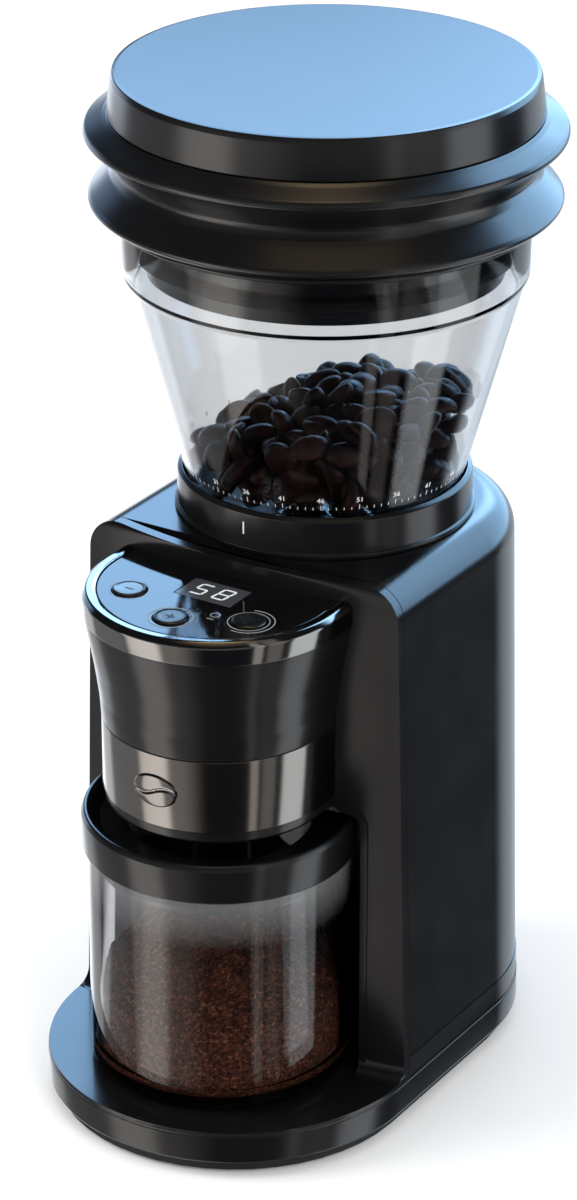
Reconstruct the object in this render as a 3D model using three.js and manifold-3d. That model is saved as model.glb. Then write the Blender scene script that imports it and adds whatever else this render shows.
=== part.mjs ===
// Burr coffee grinder: a free-standing countertop grinder with a clear bean hopper on top, a bellows lid
// that blows the last grounds out, a control head over a clear grounds jar, and a geared motor driving a
// conical burr set. Millimetres, +Z up, the front faces -Y. The model is laid out around the burr axis, and
// the whole group is then moved back so that the origin is the bottom centre of the bounding box.
import * as THREE from "three";
import { mergeVertices } from "three/addons/utils/BufferGeometryUtils.js";
import Module from "manifold-3d";

const wasm = await Module();
wasm.setup();

// ---------------------------------------------------------------- driving dimensions
const ORIGIN_BEHIND_BURR = 20.5; // distance from the burr axis forward to the bounding box centre
const SPOUT_Y = -65; // axis of the control head, the spout and the jar
const GAP = 0.3; // assembly gap between pieces that touch

// Base
const BASE_HALF = 63.4; // half width, and the radius of the round front
const BASE_FRONT_Y = -55.4; // centre of the round front
const PLATE_BOTTOM = 1.6;
const BASE_BOTTOM = 5.5;
const TRAY_TOP = 17;
const SEAM_Z = 24; // where the body shell stands on the base

// Body
const BODY_TOP = 193;
const TOP_HALF = 58.5; // half width just under the top fillet
const DRAFT = 0.0264; // how much the half width grows per millimetre downwards
const FRONT_EDGE = 51.3; // the front corners of the body lie this far in front of the burr axis
const FRONT_BULGE = 6; // the front face is this much further forward in the middle
const REAR = 64;
const PANEL_DEPTH = 3.6; // the front panel is a full-width slab this thick; the body shell starts behind it
const REAR_CORNER = 55;
const SHELL_WALL = 2.6;
const TOP_FILLET = 11;
const COVE = 5.5; // concave radius where the front panel meets the tray

// Jar, and the recess in the body that it stands in
const JAR_RADIUS = 43.3;
const JAR_WALL = 2.2;
const COLLAR_RADIUS = 45.2;
const COLLAR_BOTTOM = 95.9;
const COLLAR_TOP = 109.2;
const RECESS_RADIUS = 48.4;
const RECESS_TOP = 112;
const RECESS_ROUND = 4; // rounding where the recess's wall meets its ceiling
const RECESS_LINING = 2.4;

// Control head
const HEAD_BOTTOM = 113.3;
const BAND_BOTTOM = 117.7;
const BAND_TOP = 143;
const BAND_RADIUS = 37.9;
const TRIM_BOTTOM = 179.3;
const TRIM_RADIUS = 43.6;
const PANEL_RADIUS = 38.8;
const PANEL_TOP = 186.8;
const PANEL_THICKNESS = 2.4;
const BUTTON_RADIUS = 5.6;
const BUTTON_PLACES = { minus: [-22.5, -17], plus: [0, -27.5], start: [22.5, -17] };
const DISPLAY = { width: 21, depth: 13, x: 1, y: -4.5 };
const BOARD_Z = 176;
const HEAD_WALL = 2.4;
const SPOUT = { mouth: 23, neck: 15.5, top: 137.2, wall: 2 };
const BADGE = { width: 17, height: 11.5, crease: 0.5, wave: 1.6 };

// Hopper and lid
const SEAT_RADIUS = 48.5;
const SEAT_TOP = 207;
const HOPPER_BOTTOM = 199;
const HOPPER_FOOT_RADIUS = 46;
const RIDGE_Z = 273.7;
const RIDGE_RADIUS = 64.6;
const HOPPER_TOP = 294.2;
const HOPPER_WALL = 2.4;
const THROAT_RADIUS = 17;
const LID_RING_TOP = 298;
const PLUG_BOTTOM = 278;
const PLUG_RADIUS = 60.2;
const CAP_BOTTOM = 328;
const CAP_TOP = 341.5;
const PLEAT_RADIUS = 77.7;

// Burr set
const CONE_BURR = { bottom: 150, top: 174, foot: 19.6, nose: 8 };
const RING_BURR = { bottom: 152, top: 172, outer: 27, throat: 13.4, mouth: 20.6 };
const CARRIER_RADIUS = 36;
const CARRIER_TOP = 178;
const CHAMBER_RADIUS = 40;
const CHAMBER_BOTTOM = 133;
const CHAMBER_TOP = 184;
const CHAMBER_WALL = 3;
const SHAFT_RADIUS = 4;
const BEARING_RADIUS = 11.2;

// Drive train
const MOTOR_Y = 32;
const MOTOR_RADIUS = 27;
const CHASSIS_Z = 114;
const MOTOR_MODULE = 1;
const BURR_MODULE = 1.25;
const TEETH = { motor: 12, large: 36, small: 14, final: 42 };

const ROUND = 32; // segments of a large circle
const HIDDEN_ROUND = 18; // segments of an inner piece
const FINE_ROUND = 12; // segments of a small circle

// ---------------------------------------------------------------- geometry helpers
const DEGREE = Math.PI / 180;
const upright = (geometry) => geometry.rotateX(Math.PI / 2);

// A closed three.js geometry as a solid that can be cut and joined, with its faces pointing out.
function solid(geometry) {
  const bare = new THREE.BufferGeometry().setAttribute("position", geometry.getAttribute("position").clone());
  if (geometry.index) bare.setIndex(geometry.index.clone());
  const merged = mergeVertices(bare, 1e-4);
  const vertProperties = new Float32Array(merged.attributes.position.array);
  const triVerts = new Uint32Array(merged.index.array);
  const made = new wasm.Manifold(new wasm.Mesh({ numProp: 3, vertProperties, triVerts }));
  if (made.volume() > 0) return made;
  for (let i = 0; i < triVerts.length; i += 3) {
    [triVerts[i + 1], triVerts[i + 2]] = [triVerts[i + 2], triVerts[i + 1]];
  }
  return new wasm.Manifold(new wasm.Mesh({ numProp: 3, vertProperties, triVerts }));
}

function geometryOf(made) {
  const mesh = made.getMesh();
  const geometry = new THREE.BufferGeometry();
  geometry.setAttribute("position", new THREE.BufferAttribute(mesh.vertProperties, 3));
  geometry.setIndex(new THREE.BufferAttribute(mesh.triVerts, 1));
  geometry.computeVertexNormals();
  return geometry;
}

// A profile of [radius, height] pairs turned about an upright axis at (x, y).
function turned(profile, segments = ROUND, x = 0, y = 0) {
  const points = [...profile, profile[0]].map(([r, z]) => new THREE.Vector2(r, z));
  return solid(upright(new THREE.LatheGeometry(points, segments)).translate(x, y, 0));
}

// An upright cylinder from height z0 to z1.
function rod(radius, z0, z1, x = 0, y = 0, segments = FINE_ROUND) {
  const geometry = upright(new THREE.CylinderGeometry(radius, radius, z1 - z0, segments));
  return solid(geometry.translate(x, y, (z0 + z1) / 2));
}

// An upright tube between two radii.
function tube(outer, inner, z0, z1, x = 0, y = 0, segments = HIDDEN_ROUND) {
  return turned([[inner, z0], [outer, z0], [outer, z1], [inner, z1]], segments, x, y);
}

function block(x0, x1, y0, y1, z0, z1) {
  const geometry = new THREE.BoxGeometry(x1 - x0, y1 - y0, z1 - z0);
  return solid(geometry.translate((x0 + x1) / 2, (y0 + y1) / 2, (z0 + z1) / 2));
}

// A flat outline of [x, y] pairs extruded from height z0 to z1.
function prism(outline, z0, z1) {
  const shape = new THREE.Shape(outline.map(([x, y]) => new THREE.Vector2(x, y)));
  return solid(new THREE.ExtrudeGeometry(shape, { depth: z1 - z0, bevelEnabled: false }).translate(0, 0, z0));
}

// A skin over a stack of level outlines that all have the same number of points, closed at both ends.
function loft(levels) {
  const count = levels[0].outline.length;
  const positions = levels.flatMap(({ outline, z }) => outline.flatMap(([x, y]) => [x, y, z]));
  const index = [];
  for (let level = 0; level + 1 < levels.length; level++) {
    for (let i = 0; i < count; i++) {
      const a = level * count + i;
      const b = level * count + ((i + 1) % count);
      index.push(a, b, b + count, a, b + count, a + count);
    }
  }
  const cap = (level, flip) => {
    const flat = levels[level].outline.map(([x, y]) => new THREE.Vector2(x, y));
    for (const [a, b, c] of THREE.ShapeUtils.triangulateShape(flat, [])) {
      const face = [a, b, c].map((i) => i + level * count);
      index.push(...(flip ? face.reverse() : face));
    }
  };
  cap(0, true);
  cap(levels.length - 1, false);
  const geometry = new THREE.BufferGeometry();
  geometry.setAttribute("position", new THREE.Float32BufferAttribute(positions, 3));
  return solid(geometry.setIndex(index));
}

function arc(x, y, radius, from, to, steps) {
  return Array.from({ length: steps + 1 }, (_, i) => {
    const angle = (from + ((to - from) * i) / steps) * DEGREE;
    return [x + radius * Math.cos(angle), y + radius * Math.sin(angle)];
  });
}

const joined = (...solids) => solids.reduce((sum, next) => sum.add(next));
const cut = (from, ...tools) => tools.reduce((rest, tool) => rest.subtract(tool), from);

// ---------------------------------------------------------------- outlines of the body and the base
const halfWidthAt = (z) => TOP_HALF + (BODY_TOP - z) * DRAFT;
const frontAt = (x, half) => -FRONT_EDGE - FRONT_BULGE * (1 - (x / half) ** 2);

function rearCorners(half, rear, corner) {
  return [
    ...arc(half - corner, rear - corner, corner, 0, 90, 7),
    ...arc(corner - half, rear - corner, corner, 90, 180, 7),
  ];
}

// The shell's plan behind the front panel, drawn in by an inset at the sides and the rear.
function shellOutline(z, inset, front) {
  const half = halfWidthAt(z) - inset;
  const corner = Math.min(REAR_CORNER - inset, half - 0.5);
  return [[half, front], ...rearCorners(half, REAR - inset, corner), [-half, front]];
}

// Heights and insets of the rounded edge between the body's sides and its top.
function shoulder(inset, steps = 5) {
  const centre = BODY_TOP - TOP_FILLET;
  const radius = TOP_FILLET - inset;
  return Array.from({ length: steps + 1 }, (_, i) => {
    const angle = (90 * i * DEGREE) / steps;
    return { z: centre + radius * Math.sin(angle), drawnIn: inset + radius * (1 - Math.cos(angle)) };
  });
}

function shellLevels(bottom, inset, front) {
  const over = shoulder(inset).map(({ z, drawnIn }) => ({ z, outline: shellOutline(z, drawnIn, front) }));
  return [{ z: bottom, outline: shellOutline(bottom, inset, front) }, ...over];
}

// The base's plan: a round front, straight sides and rounded rear corners.
function baseOutline(inset) {
  const half = BASE_HALF - inset;
  return [
    ...arc(0, BASE_FRONT_Y, half, 180, 360, 24),
    ...rearCorners(half, REAR + 0.6 - inset, REAR_CORNER - inset),
  ];
}

// Points along the convex front face from left to right at a half width, moved forward by a distance.
function faceLine(half, forward) {
  const steps = 10;
  return Array.from({ length: steps + 1 }, (_, i) => {
    const x = -half + (2 * half * i) / steps;
    return [x, frontAt(x, half) - forward];
  });
}

// ---------------------------------------------------------------- materials
function paint(color, roughness, metalness = 0) {
  return new THREE.MeshStandardMaterial({ color, roughness, metalness });
}
const MATERIALS = {
  black: paint(0x17181a, 0.42),
  gloss: paint(0x08090a, 0.08),
  chrome: paint(0xb9babd, 0.12, 1),
  steel: paint(0x9a948c, 0.28, 1),
  rubber: paint(0x101112, 0.75),
  clear: new THREE.MeshStandardMaterial({ color: 0xe6ecef, roughness: 0.04, transparent: true, opacity: 0.3 }),
  smoke: paint(0x2a2c2f, 0.2),
  screen: paint(0x1d1f22, 0.15),
  nylon: paint(0xd9d4c4, 0.5),
  zinc: paint(0x8d9196, 0.35, 1),
  board: paint(0x1f5a38, 0.55),
};

const inner = new THREE.Group(); // laid out around the burr axis
function add(name, material, made) {
  const mesh = new THREE.Mesh(geometryOf(made), MATERIALS[material]);
  mesh.name = name;
  inner.add(mesh);
}

// ---------------------------------------------------------------- base
const SHELL_FRONT = PANEL_DEPTH + GAP - FRONT_EDGE; // the plane the shell and the kerb start from
const FEET = [[-34, -84], [34, -84], [-36, 32], [36, 32]];
const SCREW_PLACES = [[-44, -58], [44, -58], [-26, 50], [26, 50]];
const FOOT_RADIUS = 9;

function baseTray() {
  const skirt = loft([
    { z: BASE_BOTTOM, outline: baseOutline(0.8) },
    { z: BASE_BOTTOM + 1, outline: baseOutline(0) },
    { z: TRAY_TOP - 1.4, outline: baseOutline(0) },
    { z: TRAY_TOP - 0.4, outline: baseOutline(0.4) },
    { z: TRAY_TOP, outline: baseOutline(1.4) },
  ]);
  const kerb = cut(
    prism(baseOutline(0.2), TRAY_TOP - 2, SEAM_Z),
    prism(baseOutline(SHELL_WALL), TRAY_TOP, SEAM_Z + 1),
    block(-90, 90, -140, SHELL_FRONT, TRAY_TOP, SEAM_Z + 1),
  );
  const hollow = prism(baseOutline(SHELL_WALL), BASE_BOTTOM - 1, TRAY_TOP - 3);
  const bosses = SCREW_PLACES.map(([x, y]) => rod(4.5, BASE_BOTTOM + 0.1, TRAY_TOP - 2, x, y));
  const pilots = SCREW_PLACES.map(([x, y]) => rod(1.7, BASE_BOTTOM - 1, TRAY_TOP - 4.5, x, y, 12));
  return cut(joined(cut(joined(skirt, kerb), hollow), ...bosses), ...pilots);
}

function basePlate() {
  const plate = prism(baseOutline(SHELL_WALL + GAP), PLATE_BOTTOM, BASE_BOTTOM - 0.1);
  const footSeats = FEET.map(([x, y]) => rod(FOOT_RADIUS + GAP, PLATE_BOTTOM - 1, PLATE_BOTTOM + 1.2, x, y, 16));
  const sinks = SCREW_PLACES.map(([x, y]) => rod(3.6, PLATE_BOTTOM - 1, PLATE_BOTTOM + 2.2, x, y, 12));
  const holes = SCREW_PLACES.map(([x, y]) => rod(1.9, PLATE_BOTTOM, BASE_BOTTOM + 1, x, y, 12));
  return cut(plate, ...footSeats, ...sinks, ...holes);
}

function foot(x, y) {
  const top = PLATE_BOTTOM + 1.1;
  return turned([[0, 0], [FOOT_RADIUS - 1, 0], [FOOT_RADIUS, 0.8], [FOOT_RADIUS, top], [0, top]], 16, x, y);
}

// A slotted screw standing on its head, the slot open downwards.
function baseScrew(x, y) {
  const bottom = PLATE_BOTTOM + 0.2;
  const head = rod(3, bottom, bottom + 1.8, x, y, 16);
  const shank = rod(1.4, bottom + 1, bottom + 9, x, y);
  return cut(joined(head, shank), block(x - 1.8, x + 1.8, y - 0.4, y + 0.4, bottom - 1, bottom + 0.9));
}

add("base_tray", "black", baseTray());
add("base_plate", "rubber", basePlate());
FEET.forEach(([x, y], i) => add(`foot_${i + 1}`, "rubber", foot(x, y)));
SCREW_PLACES.forEach(([x, y], i) => add(`base_screw_${i + 1}`, "zinc", baseScrew(x, y)));

// ---------------------------------------------------------------- body
const GLAND = { z: 36, radius: 6, bore: 3.4 };

function bodyShell() {
  const outer = loft(shellLevels(SEAM_Z + 0.2, 0, SHELL_FRONT));
  const room = loft(shellLevels(SEAM_Z - 3, SHELL_WALL, SHELL_FRONT - 5));
  const vents = [-3, -2, -1, 0, 1, 2, 3].map((i) => block(i * 6 - 1.2, i * 6 + 1.2, 40, 80, 56, 84));
  const mouth = rod(42.5, BODY_TOP - 10, BODY_TOP + 5, 0, 0, ROUND);
  const glandHole = solid(new THREE.CylinderGeometry(GLAND.radius + GAP, GLAND.radius + GAP, 20, 16));
  return cut(outer, room, mouth, ...vents, glandHole.translate(0, REAR - 2, GLAND.z));
}

// A level of the front panel: its convex face, and the same line again behind it.
function panelLevel(z, half, forward) {
  const back = faceLine(half, -PANEL_DEPTH).reverse();
  return { z, outline: [...faceLine(half, forward), ...back] };
}

// The room that the jar stands in, its wall rounded over into a flat ceiling, grown all round by a thickness.
function jarRoom(grown, bottom) {
  const radius = RECESS_RADIUS + grown;
  const top = RECESS_TOP + grown;
  const round = RECESS_ROUND + grown;
  const corner = arc(radius - round, top - round, round, 0, 90, 3);
  return turned([[0, bottom], [radius, bottom], ...corner, [0, top]], 48, 0, SPOUT_Y);
}

// The full-width slab, flared forward in a cove where it meets the tray and rounded at its top corners, with a
// lined recess for the jar.
function frontPanel() {
  const foot = [0, 22, 45, 68, 90].map((angle) => {
    const rise = COVE * (1 - Math.cos(angle * DEGREE));
    const flare = COVE * (1 - Math.sin(angle * DEGREE));
    return panelLevel(TRAY_TOP + 0.1 + rise, halfWidthAt(TRAY_TOP + rise), flare);
  });
  const top = shoulder(0).map(({ z, drawnIn }) => panelLevel(z, halfWidthAt(z) - drawnIn, 0));
  const slab = loft([...foot, ...top]);
  const recess = jarRoom(0, 0);
  const half = halfWidthAt(TRAY_TOP);
  const behind = prism([...faceLine(half, -1), [half, 0], [-half, 0]], 0, BODY_TOP);
  const lining = jarRoom(RECESS_LINING, TRAY_TOP + 0.1).intersect(behind);
  const chuteWindow = block(-15, 15, -80, 0, 136, 160);
  const spoutWindow = rod(SPOUT.mouth + 1.5, RECESS_TOP - 4, 139, 0, SPOUT_Y, 24);
  return cut(joined(slab, lining), recess, chuteWindow, spoutWindow);
}

// The raised ring on the body's top that the hopper's foot turns in.
function hopperSeat() {
  const flange = SEAT_RADIUS + 0.9;
  const socket = HOPPER_FOOT_RADIUS + 0.6;
  const floor = HOPPER_BOTTOM - 0.6;
  return turned([
    [44, BODY_TOP + 0.2], [flange, BODY_TOP + 0.2], [flange, BODY_TOP + 1.6], [SEAT_RADIUS, BODY_TOP + 2.4],
    [SEAT_RADIUS - 0.4, SEAT_TOP - 0.8], [SEAT_RADIUS - 1.2, SEAT_TOP], [socket + 0.2, SEAT_TOP],
    [socket, floor], [44, floor],
  ]);
}

// A cylinder along Y at the gland's height, its middle at y.
function alongY(radius, frontRadius, length, y) {
  const geometry = new THREE.CylinderGeometry(radius, frontRadius, length, 20);
  return solid(geometry.translate(0, y, GLAND.z));
}

function cordGland() {
  const seat = alongY(GLAND.radius, GLAND.radius, 7, REAR - 1.5);
  const lip = alongY(GLAND.radius + 2, GLAND.radius + 2.6, 2, REAR + 1.6);
  return cut(joined(seat, lip), alongY(GLAND.bore, GLAND.bore, 20, REAR));
}

add("body_shell", "black", bodyShell());
add("front_panel", "black", frontPanel());
add("hopper_seat", "black", hopperSeat());
add("cord_gland", "rubber", cordGland());

// ---------------------------------------------------------------- control head
// The space behind the front face, less the gap that the head pieces keep from it.
function behindFace() {
  const half = halfWidthAt(BAND_TOP);
  return prism([...faceLine(half, GAP), [half, 30], [-half, 30]], 90, 200);
}

// A head piece: a profile turned about the spout axis in front, run straight back and cut to meet the face.
function headPiece(profile) {
  const round = cut(turned(profile, ROUND, 0, SPOUT_Y), block(-60, 60, SPOUT_Y, 0, 100, 200));
  const sides = [1, -1].map((side) => {
    const shape = new THREE.Shape(profile.map(([r, z]) => new THREE.Vector2(side * r, z)));
    const along = new THREE.ExtrudeGeometry(shape, { depth: 25, bevelEnabled: false });
    return solid(upright(along).translate(0, SPOUT_Y + 25, 0));
  });
  return cut(joined(round, ...sides), behindFace());
}

// The steel band's and the cone's wall, one piece behind the band and stepping out over it.
function headShell() {
  const rim = TRIM_RADIUS - 0.5;
  const seat = BAND_RADIUS - 1.2;
  const inside = seat - HEAD_WALL + 0.2;
  const outside = [
    [seat, BAND_BOTTOM + 0.1], [seat, BAND_TOP + 0.1], [BAND_RADIUS, BAND_TOP + 0.1],
    [BAND_RADIUS + 0.6, BAND_TOP + 8], [BAND_RADIUS + 2, BAND_TOP + 18], [rim, TRIM_BOTTOM - 0.1],
  ];
  const back = [
    [rim - HEAD_WALL, TRIM_BOTTOM - 0.1], [inside + HEAD_WALL, BAND_TOP + 12],
    [inside, BAND_TOP], [inside, BAND_BOTTOM + 0.1],
  ];
  return headPiece([...outside, ...back]);
}

function steelBand() {
  const back = BAND_RADIUS - 0.9;
  const top = BAND_TOP - 0.1;
  return headPiece([[back, BAND_BOTTOM], [BAND_RADIUS, BAND_BOTTOM], [BAND_RADIUS, top], [back, top]]);
}

function headBottomRing() {
  const rim = BAND_RADIUS - 0.6;
  const top = BAND_BOTTOM - 0.2;
  return headPiece([
    [27, HEAD_BOTTOM], [rim - 1, HEAD_BOTTOM], [rim, HEAD_BOTTOM + 1.2], [rim, top], [27, top],
  ]);
}

function trimRing() {
  const seat = PANEL_TOP - PANEL_THICKNESS - 0.1;
  const hole = PANEL_RADIUS + 0.2;
  const back = TRIM_RADIUS - 2.6;
  return headPiece([
    [back, TRIM_BOTTOM], [TRIM_RADIUS, TRIM_BOTTOM], [TRIM_RADIUS, TRIM_BOTTOM + 4.6],
    [TRIM_RADIUS - 0.8, TRIM_BOTTOM + 6], [hole + 0.6, PANEL_TOP + 0.5], [hole, PANEL_TOP + 0.4],
    [hole, seat], [back, seat],
  ]);
}

// A block with the display's plan, grown all round.
function displayBlock(grown, z0, z1) {
  const halfWidth = DISPLAY.width / 2 + grown;
  const halfDepth = DISPLAY.depth / 2 + grown;
  const y = SPOUT_Y + DISPLAY.y;
  return block(DISPLAY.x - halfWidth, DISPLAY.x + halfWidth, y - halfDepth, y + halfDepth, z0, z1);
}

function controlPanel() {
  const bottom = PANEL_TOP - PANEL_THICKNESS;
  const plate = headPiece([[0, bottom], [PANEL_RADIUS, bottom], [PANEL_RADIUS, PANEL_TOP], [0, PANEL_TOP]]);
  const hole = ([x, y]) => rod(BUTTON_RADIUS + 0.35, 180, 190, x, SPOUT_Y + y, 24);
  return cut(plate, displayBlock(0.2, 180, 190), ...Object.values(BUTTON_PLACES).map(hole));
}

// A round button with a slightly dished top, on a stem that reaches down to its switch.
function button([x, y]) {
  const stem = 2;
  const stemBottom = BOARD_Z + 2.6;
  const shoulderZ = PANEL_TOP - PANEL_THICKNESS;
  const profile = [
    [0, stemBottom], [stem, stemBottom], [stem, shoulderZ], [BUTTON_RADIUS, shoulderZ + 0.2],
    [BUTTON_RADIUS, PANEL_TOP + 0.4], [BUTTON_RADIUS - 0.7, PANEL_TOP + 0.9], [0, PANEL_TOP + 0.7],
  ];
  return turned(profile, 16, x, SPOUT_Y + y);
}

function controlBoard() {
  const disc = rod(34, BOARD_Z, BOARD_Z + 1.6, 0, SPOUT_Y, HIDDEN_ROUND);
  const board = cut(disc, block(-40, 40, SPOUT_Y + 5.5, 0, 170, 180));
  const chip = block(-20, -8, SPOUT_Y - 6, SPOUT_Y + 2, BOARD_Z - 1.8, BOARD_Z + 0.1);
  return joined(board, chip);
}

// A bean-shaped relief on the front of the steel band: a low oval with a curved crease.
function bandBadge() {
  const middle = (BAND_BOTTOM + BAND_TOP) / 2;
  const extruded = (shape) => {
    const geometry = new THREE.ExtrudeGeometry(shape, { depth: 8, bevelEnabled: false, curveSegments: 20 });
    return solid(upright(geometry).translate(0, SPOUT_Y - BAND_RADIUS + 6, middle));
  };
  const oval = new THREE.Shape();
  oval.absellipse(0, 0, BADGE.width / 2, BADGE.height / 2, 0, 2 * Math.PI);
  const wave = (offset) =>
    Array.from({ length: 7 }, (_, i) => {
      const along = i / 6 - 0.5;
      return new THREE.Vector2(along * BADGE.width, BADGE.wave * Math.sin(along * 2 * Math.PI) + offset);
    });
  const crease = new THREE.Shape([...wave(-BADGE.crease), ...wave(BADGE.crease).reverse()]);
  const skin = tube(BAND_RADIUS + 1, BAND_RADIUS + 0.2, BAND_BOTTOM, BAND_TOP, 0, SPOUT_Y, 72);
  const creaseFloor = rod(BAND_RADIUS + 0.6, BAND_BOTTOM, BAND_TOP, 0, SPOUT_Y, 72);
  return cut(skin.intersect(extruded(oval)), cut(extruded(crease), creaseFloor));
}

function spout() {
  const { mouth, neck, top, wall } = SPOUT;
  const bottom = HEAD_BOTTOM + 1;
  return turned([
    [mouth - wall, bottom], [mouth, bottom], [mouth, bottom + 3], [neck, top], [neck - wall, top],
  ], 24, 0, SPOUT_Y);
}

add("head_shell", "black", headShell());
add("band_badge", "chrome", bandBadge());
add("steel_band", "steel", steelBand());
add("head_bottom_ring", "black", headBottomRing());
add("trim_ring", "chrome", trimRing());
add("control_panel", "gloss", controlPanel());
add("display_window", "screen", displayBlock(0, PANEL_TOP - 2.2, PANEL_TOP));
add("display_module", "smoke", displayBlock(-0.5, BOARD_Z + 1.8, PANEL_TOP - 2.6));
for (const [name, place] of Object.entries(BUTTON_PLACES)) add(`button_${name}`, "chrome", button(place));
add("control_board", "board", controlBoard());
add("spout", "rubber", spout());

// ---------------------------------------------------------------- grounds jar
function jar() {
  const foot = TRAY_TOP + 0.2;
  const out = JAR_RADIUS;
  const clear = JAR_RADIUS - JAR_WALL;
  return turned(
    [[0, foot + 0.8], [out - 9, foot + 0.8], [out - 8, foot], [out - 5, foot], [out - 1.6, foot + 1.4],
      [out, foot + 5], [out, COLLAR_BOTTOM + 2], [out - 0.6, COLLAR_BOTTOM + 5], [clear, COLLAR_BOTTOM + 5],
      [clear, foot + 9], [clear - 1.8, foot + 5.2], [clear - 6, foot + 3.6], [0, foot + 3.4]],
    ROUND, 0, SPOUT_Y,
  );
}

// The black cap of the jar: a rim outside the jar, a skirt inside it and an inward flange around the mouth.
function jarCollar() {
  const clear = JAR_RADIUS - JAR_WALL;
  const mouth = 30;
  const seat = COLLAR_BOTTOM + 5.4;
  const skirtBottom = COLLAR_BOTTOM - 6;
  return turned(
    [[JAR_RADIUS + 0.2, COLLAR_BOTTOM], [COLLAR_RADIUS - 0.2, COLLAR_BOTTOM], [COLLAR_RADIUS, COLLAR_TOP - 1.8],
      [COLLAR_RADIUS - 1, COLLAR_TOP], [COLLAR_RADIUS - 2, COLLAR_TOP], [39, COLLAR_TOP - 4.6],
      [mouth, COLLAR_TOP - 5.4], [mouth, COLLAR_TOP - 7.2], [clear - 2.9, COLLAR_TOP - 7.6],
      [clear - 2.9, skirtBottom], [clear - 0.9, skirtBottom], [clear - 0.9, seat], [JAR_RADIUS + 0.2, seat]],
    ROUND, 0, SPOUT_Y,
  );
}

// A sealing ring between the collar's skirt and the jar's wall.
function jarGasket() {
  const clear = JAR_RADIUS - JAR_WALL;
  return tube(clear - 0.15, clear - 0.75, COLLAR_BOTTOM - 4, COLLAR_BOTTOM - 1.5, 0, SPOUT_Y, ROUND);
}

add("jar", "clear", jar());
add("jar_collar", "black", jarCollar());
add("jar_gasket", "rubber", jarGasket());

// ---------------------------------------------------------------- hopper
function hopper() {
  const outside = [
    [HOPPER_FOOT_RADIUS, HOPPER_BOTTOM], [HOPPER_FOOT_RADIUS + 0.3, SEAT_TOP], [RIDGE_RADIUS, RIDGE_Z],
    [RIDGE_RADIUS + 1.2, RIDGE_Z + 1.6], [RIDGE_RADIUS + 1.6, HOPPER_TOP],
  ];
  const inside = outside.map(([r, z], i) => [r - HOPPER_WALL, i === 2 || i === 3 ? z + 0.5 : z]);
  return turned([...outside, ...inside.reverse()]);
}

// The black floor of the hopper, sloping to the throat over the burrs.
function hopperFunnel() {
  const rim = HOPPER_FOOT_RADIUS - HOPPER_WALL - 0.3;
  const outside = [[THROAT_RADIUS, 180], [THROAT_RADIUS + 2, 180], [THROAT_RADIUS + 2, 187], [37, 194.5]];
  return turned([...outside, [rim, 196.5], [rim, 205], [rim - 1.7, 205], [36, 199.5], [THROAT_RADIUS, 189]]);
}

function beanGuard() {
  const rim = tube(THROAT_RADIUS - 0.3, THROAT_RADIUS - 2, 183, 187, 0, 0, HIDDEN_ROUND);
  const hub = turned([[0, 183], [4.5, 183], [4.5, 186], [0, 190]], 20);
  const arm = (angle) => block(2, THROAT_RADIUS - 1, -1, 1, 183, 186.4).rotate([0, 0, angle]);
  return joined(rim, hub, ...[0, 120, 240].map(arm));
}
add("hopper", "clear", hopper());
add("hopper_funnel", "black", hopperFunnel());
add("bean_guard", "steel", beanGuard());

// ---------------------------------------------------------------- bellows lid
const PLUG_FLOOR = { bottom: 287.6, top: 290, airPort: 7 };

// The flange that rests on the hopper's rim, and the plug below it with an air port in its floor.
function lidRing() {
  const wall = PLUG_RADIUS - 2.4;
  const { bottom, top, airPort } = PLUG_FLOOR;
  return turned([
    [wall, PLUG_BOTTOM], [PLUG_RADIUS, PLUG_BOTTOM], [PLUG_RADIUS, HOPPER_TOP + 0.3], [70, HOPPER_TOP + 0.4],
    [70.6, HOPPER_TOP + 1.4], [69.6, LID_RING_TOP - 1], [66, LID_RING_TOP], [60, LID_RING_TOP],
    [58, top], [airPort, top], [airPort, bottom], [wall, bottom],
  ]);
}

function lidGasket() {
  const seat = PLUG_RADIUS + 0.1;
  const lip = RIDGE_RADIUS + 1.1 - HOPPER_WALL;
  return turned([[seat, 283], [lip - 1.2, 283], [lip, 284.6], [lip - 1.2, 286.2], [seat, 286.2]]);
}

// The pleated skin between the lid ring and the cap: two flared pleats with a neck between them.
function bellows() {
  const outside = [
    [66.2, LID_RING_TOP + 0.2], [71.5, LID_RING_TOP + 0.3], [PLEAT_RADIUS - 1.8, 299.6],
    [PLEAT_RADIUS - 1.4, 301.8],
    [68.4, 308.8], [67.4, 312], [PLEAT_RADIUS - 0.8, 320.4], [PLEAT_RADIUS, 322], [PLEAT_RADIUS - 0.8, 324],
    [71.6, 326.8], [70, CAP_BOTTOM - 0.2],
  ];
  const inside = [
    [66, CAP_BOTTOM - 0.2], [66.4, 326.2], [74.4, 322.2], [65.4, 313], [65.4, 309.4], [73.2, 301], [66.2, 299.8],
  ];
  return turned([...outside, ...inside]);
}

// A shallow upturned cup with a raised rim around its flat top.
function lidCap() {
  const rim = 66.4;
  return turned([
    [rim, CAP_BOTTOM], [69.8, CAP_BOTTOM], [67.9, CAP_TOP - 1], [67.2, CAP_TOP], [rim, CAP_TOP],
    [rim - 0.4, CAP_TOP - 0.5], [0, CAP_TOP - 0.5], [0, CAP_TOP - 3], [65, CAP_TOP - 3],
  ]);
}

add("lid_ring", "black", lidRing());
add("lid_gasket", "rubber", lidGasket());
add("bellows", "rubber", bellows());
add("lid_cap", "black", lidCap());

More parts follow.
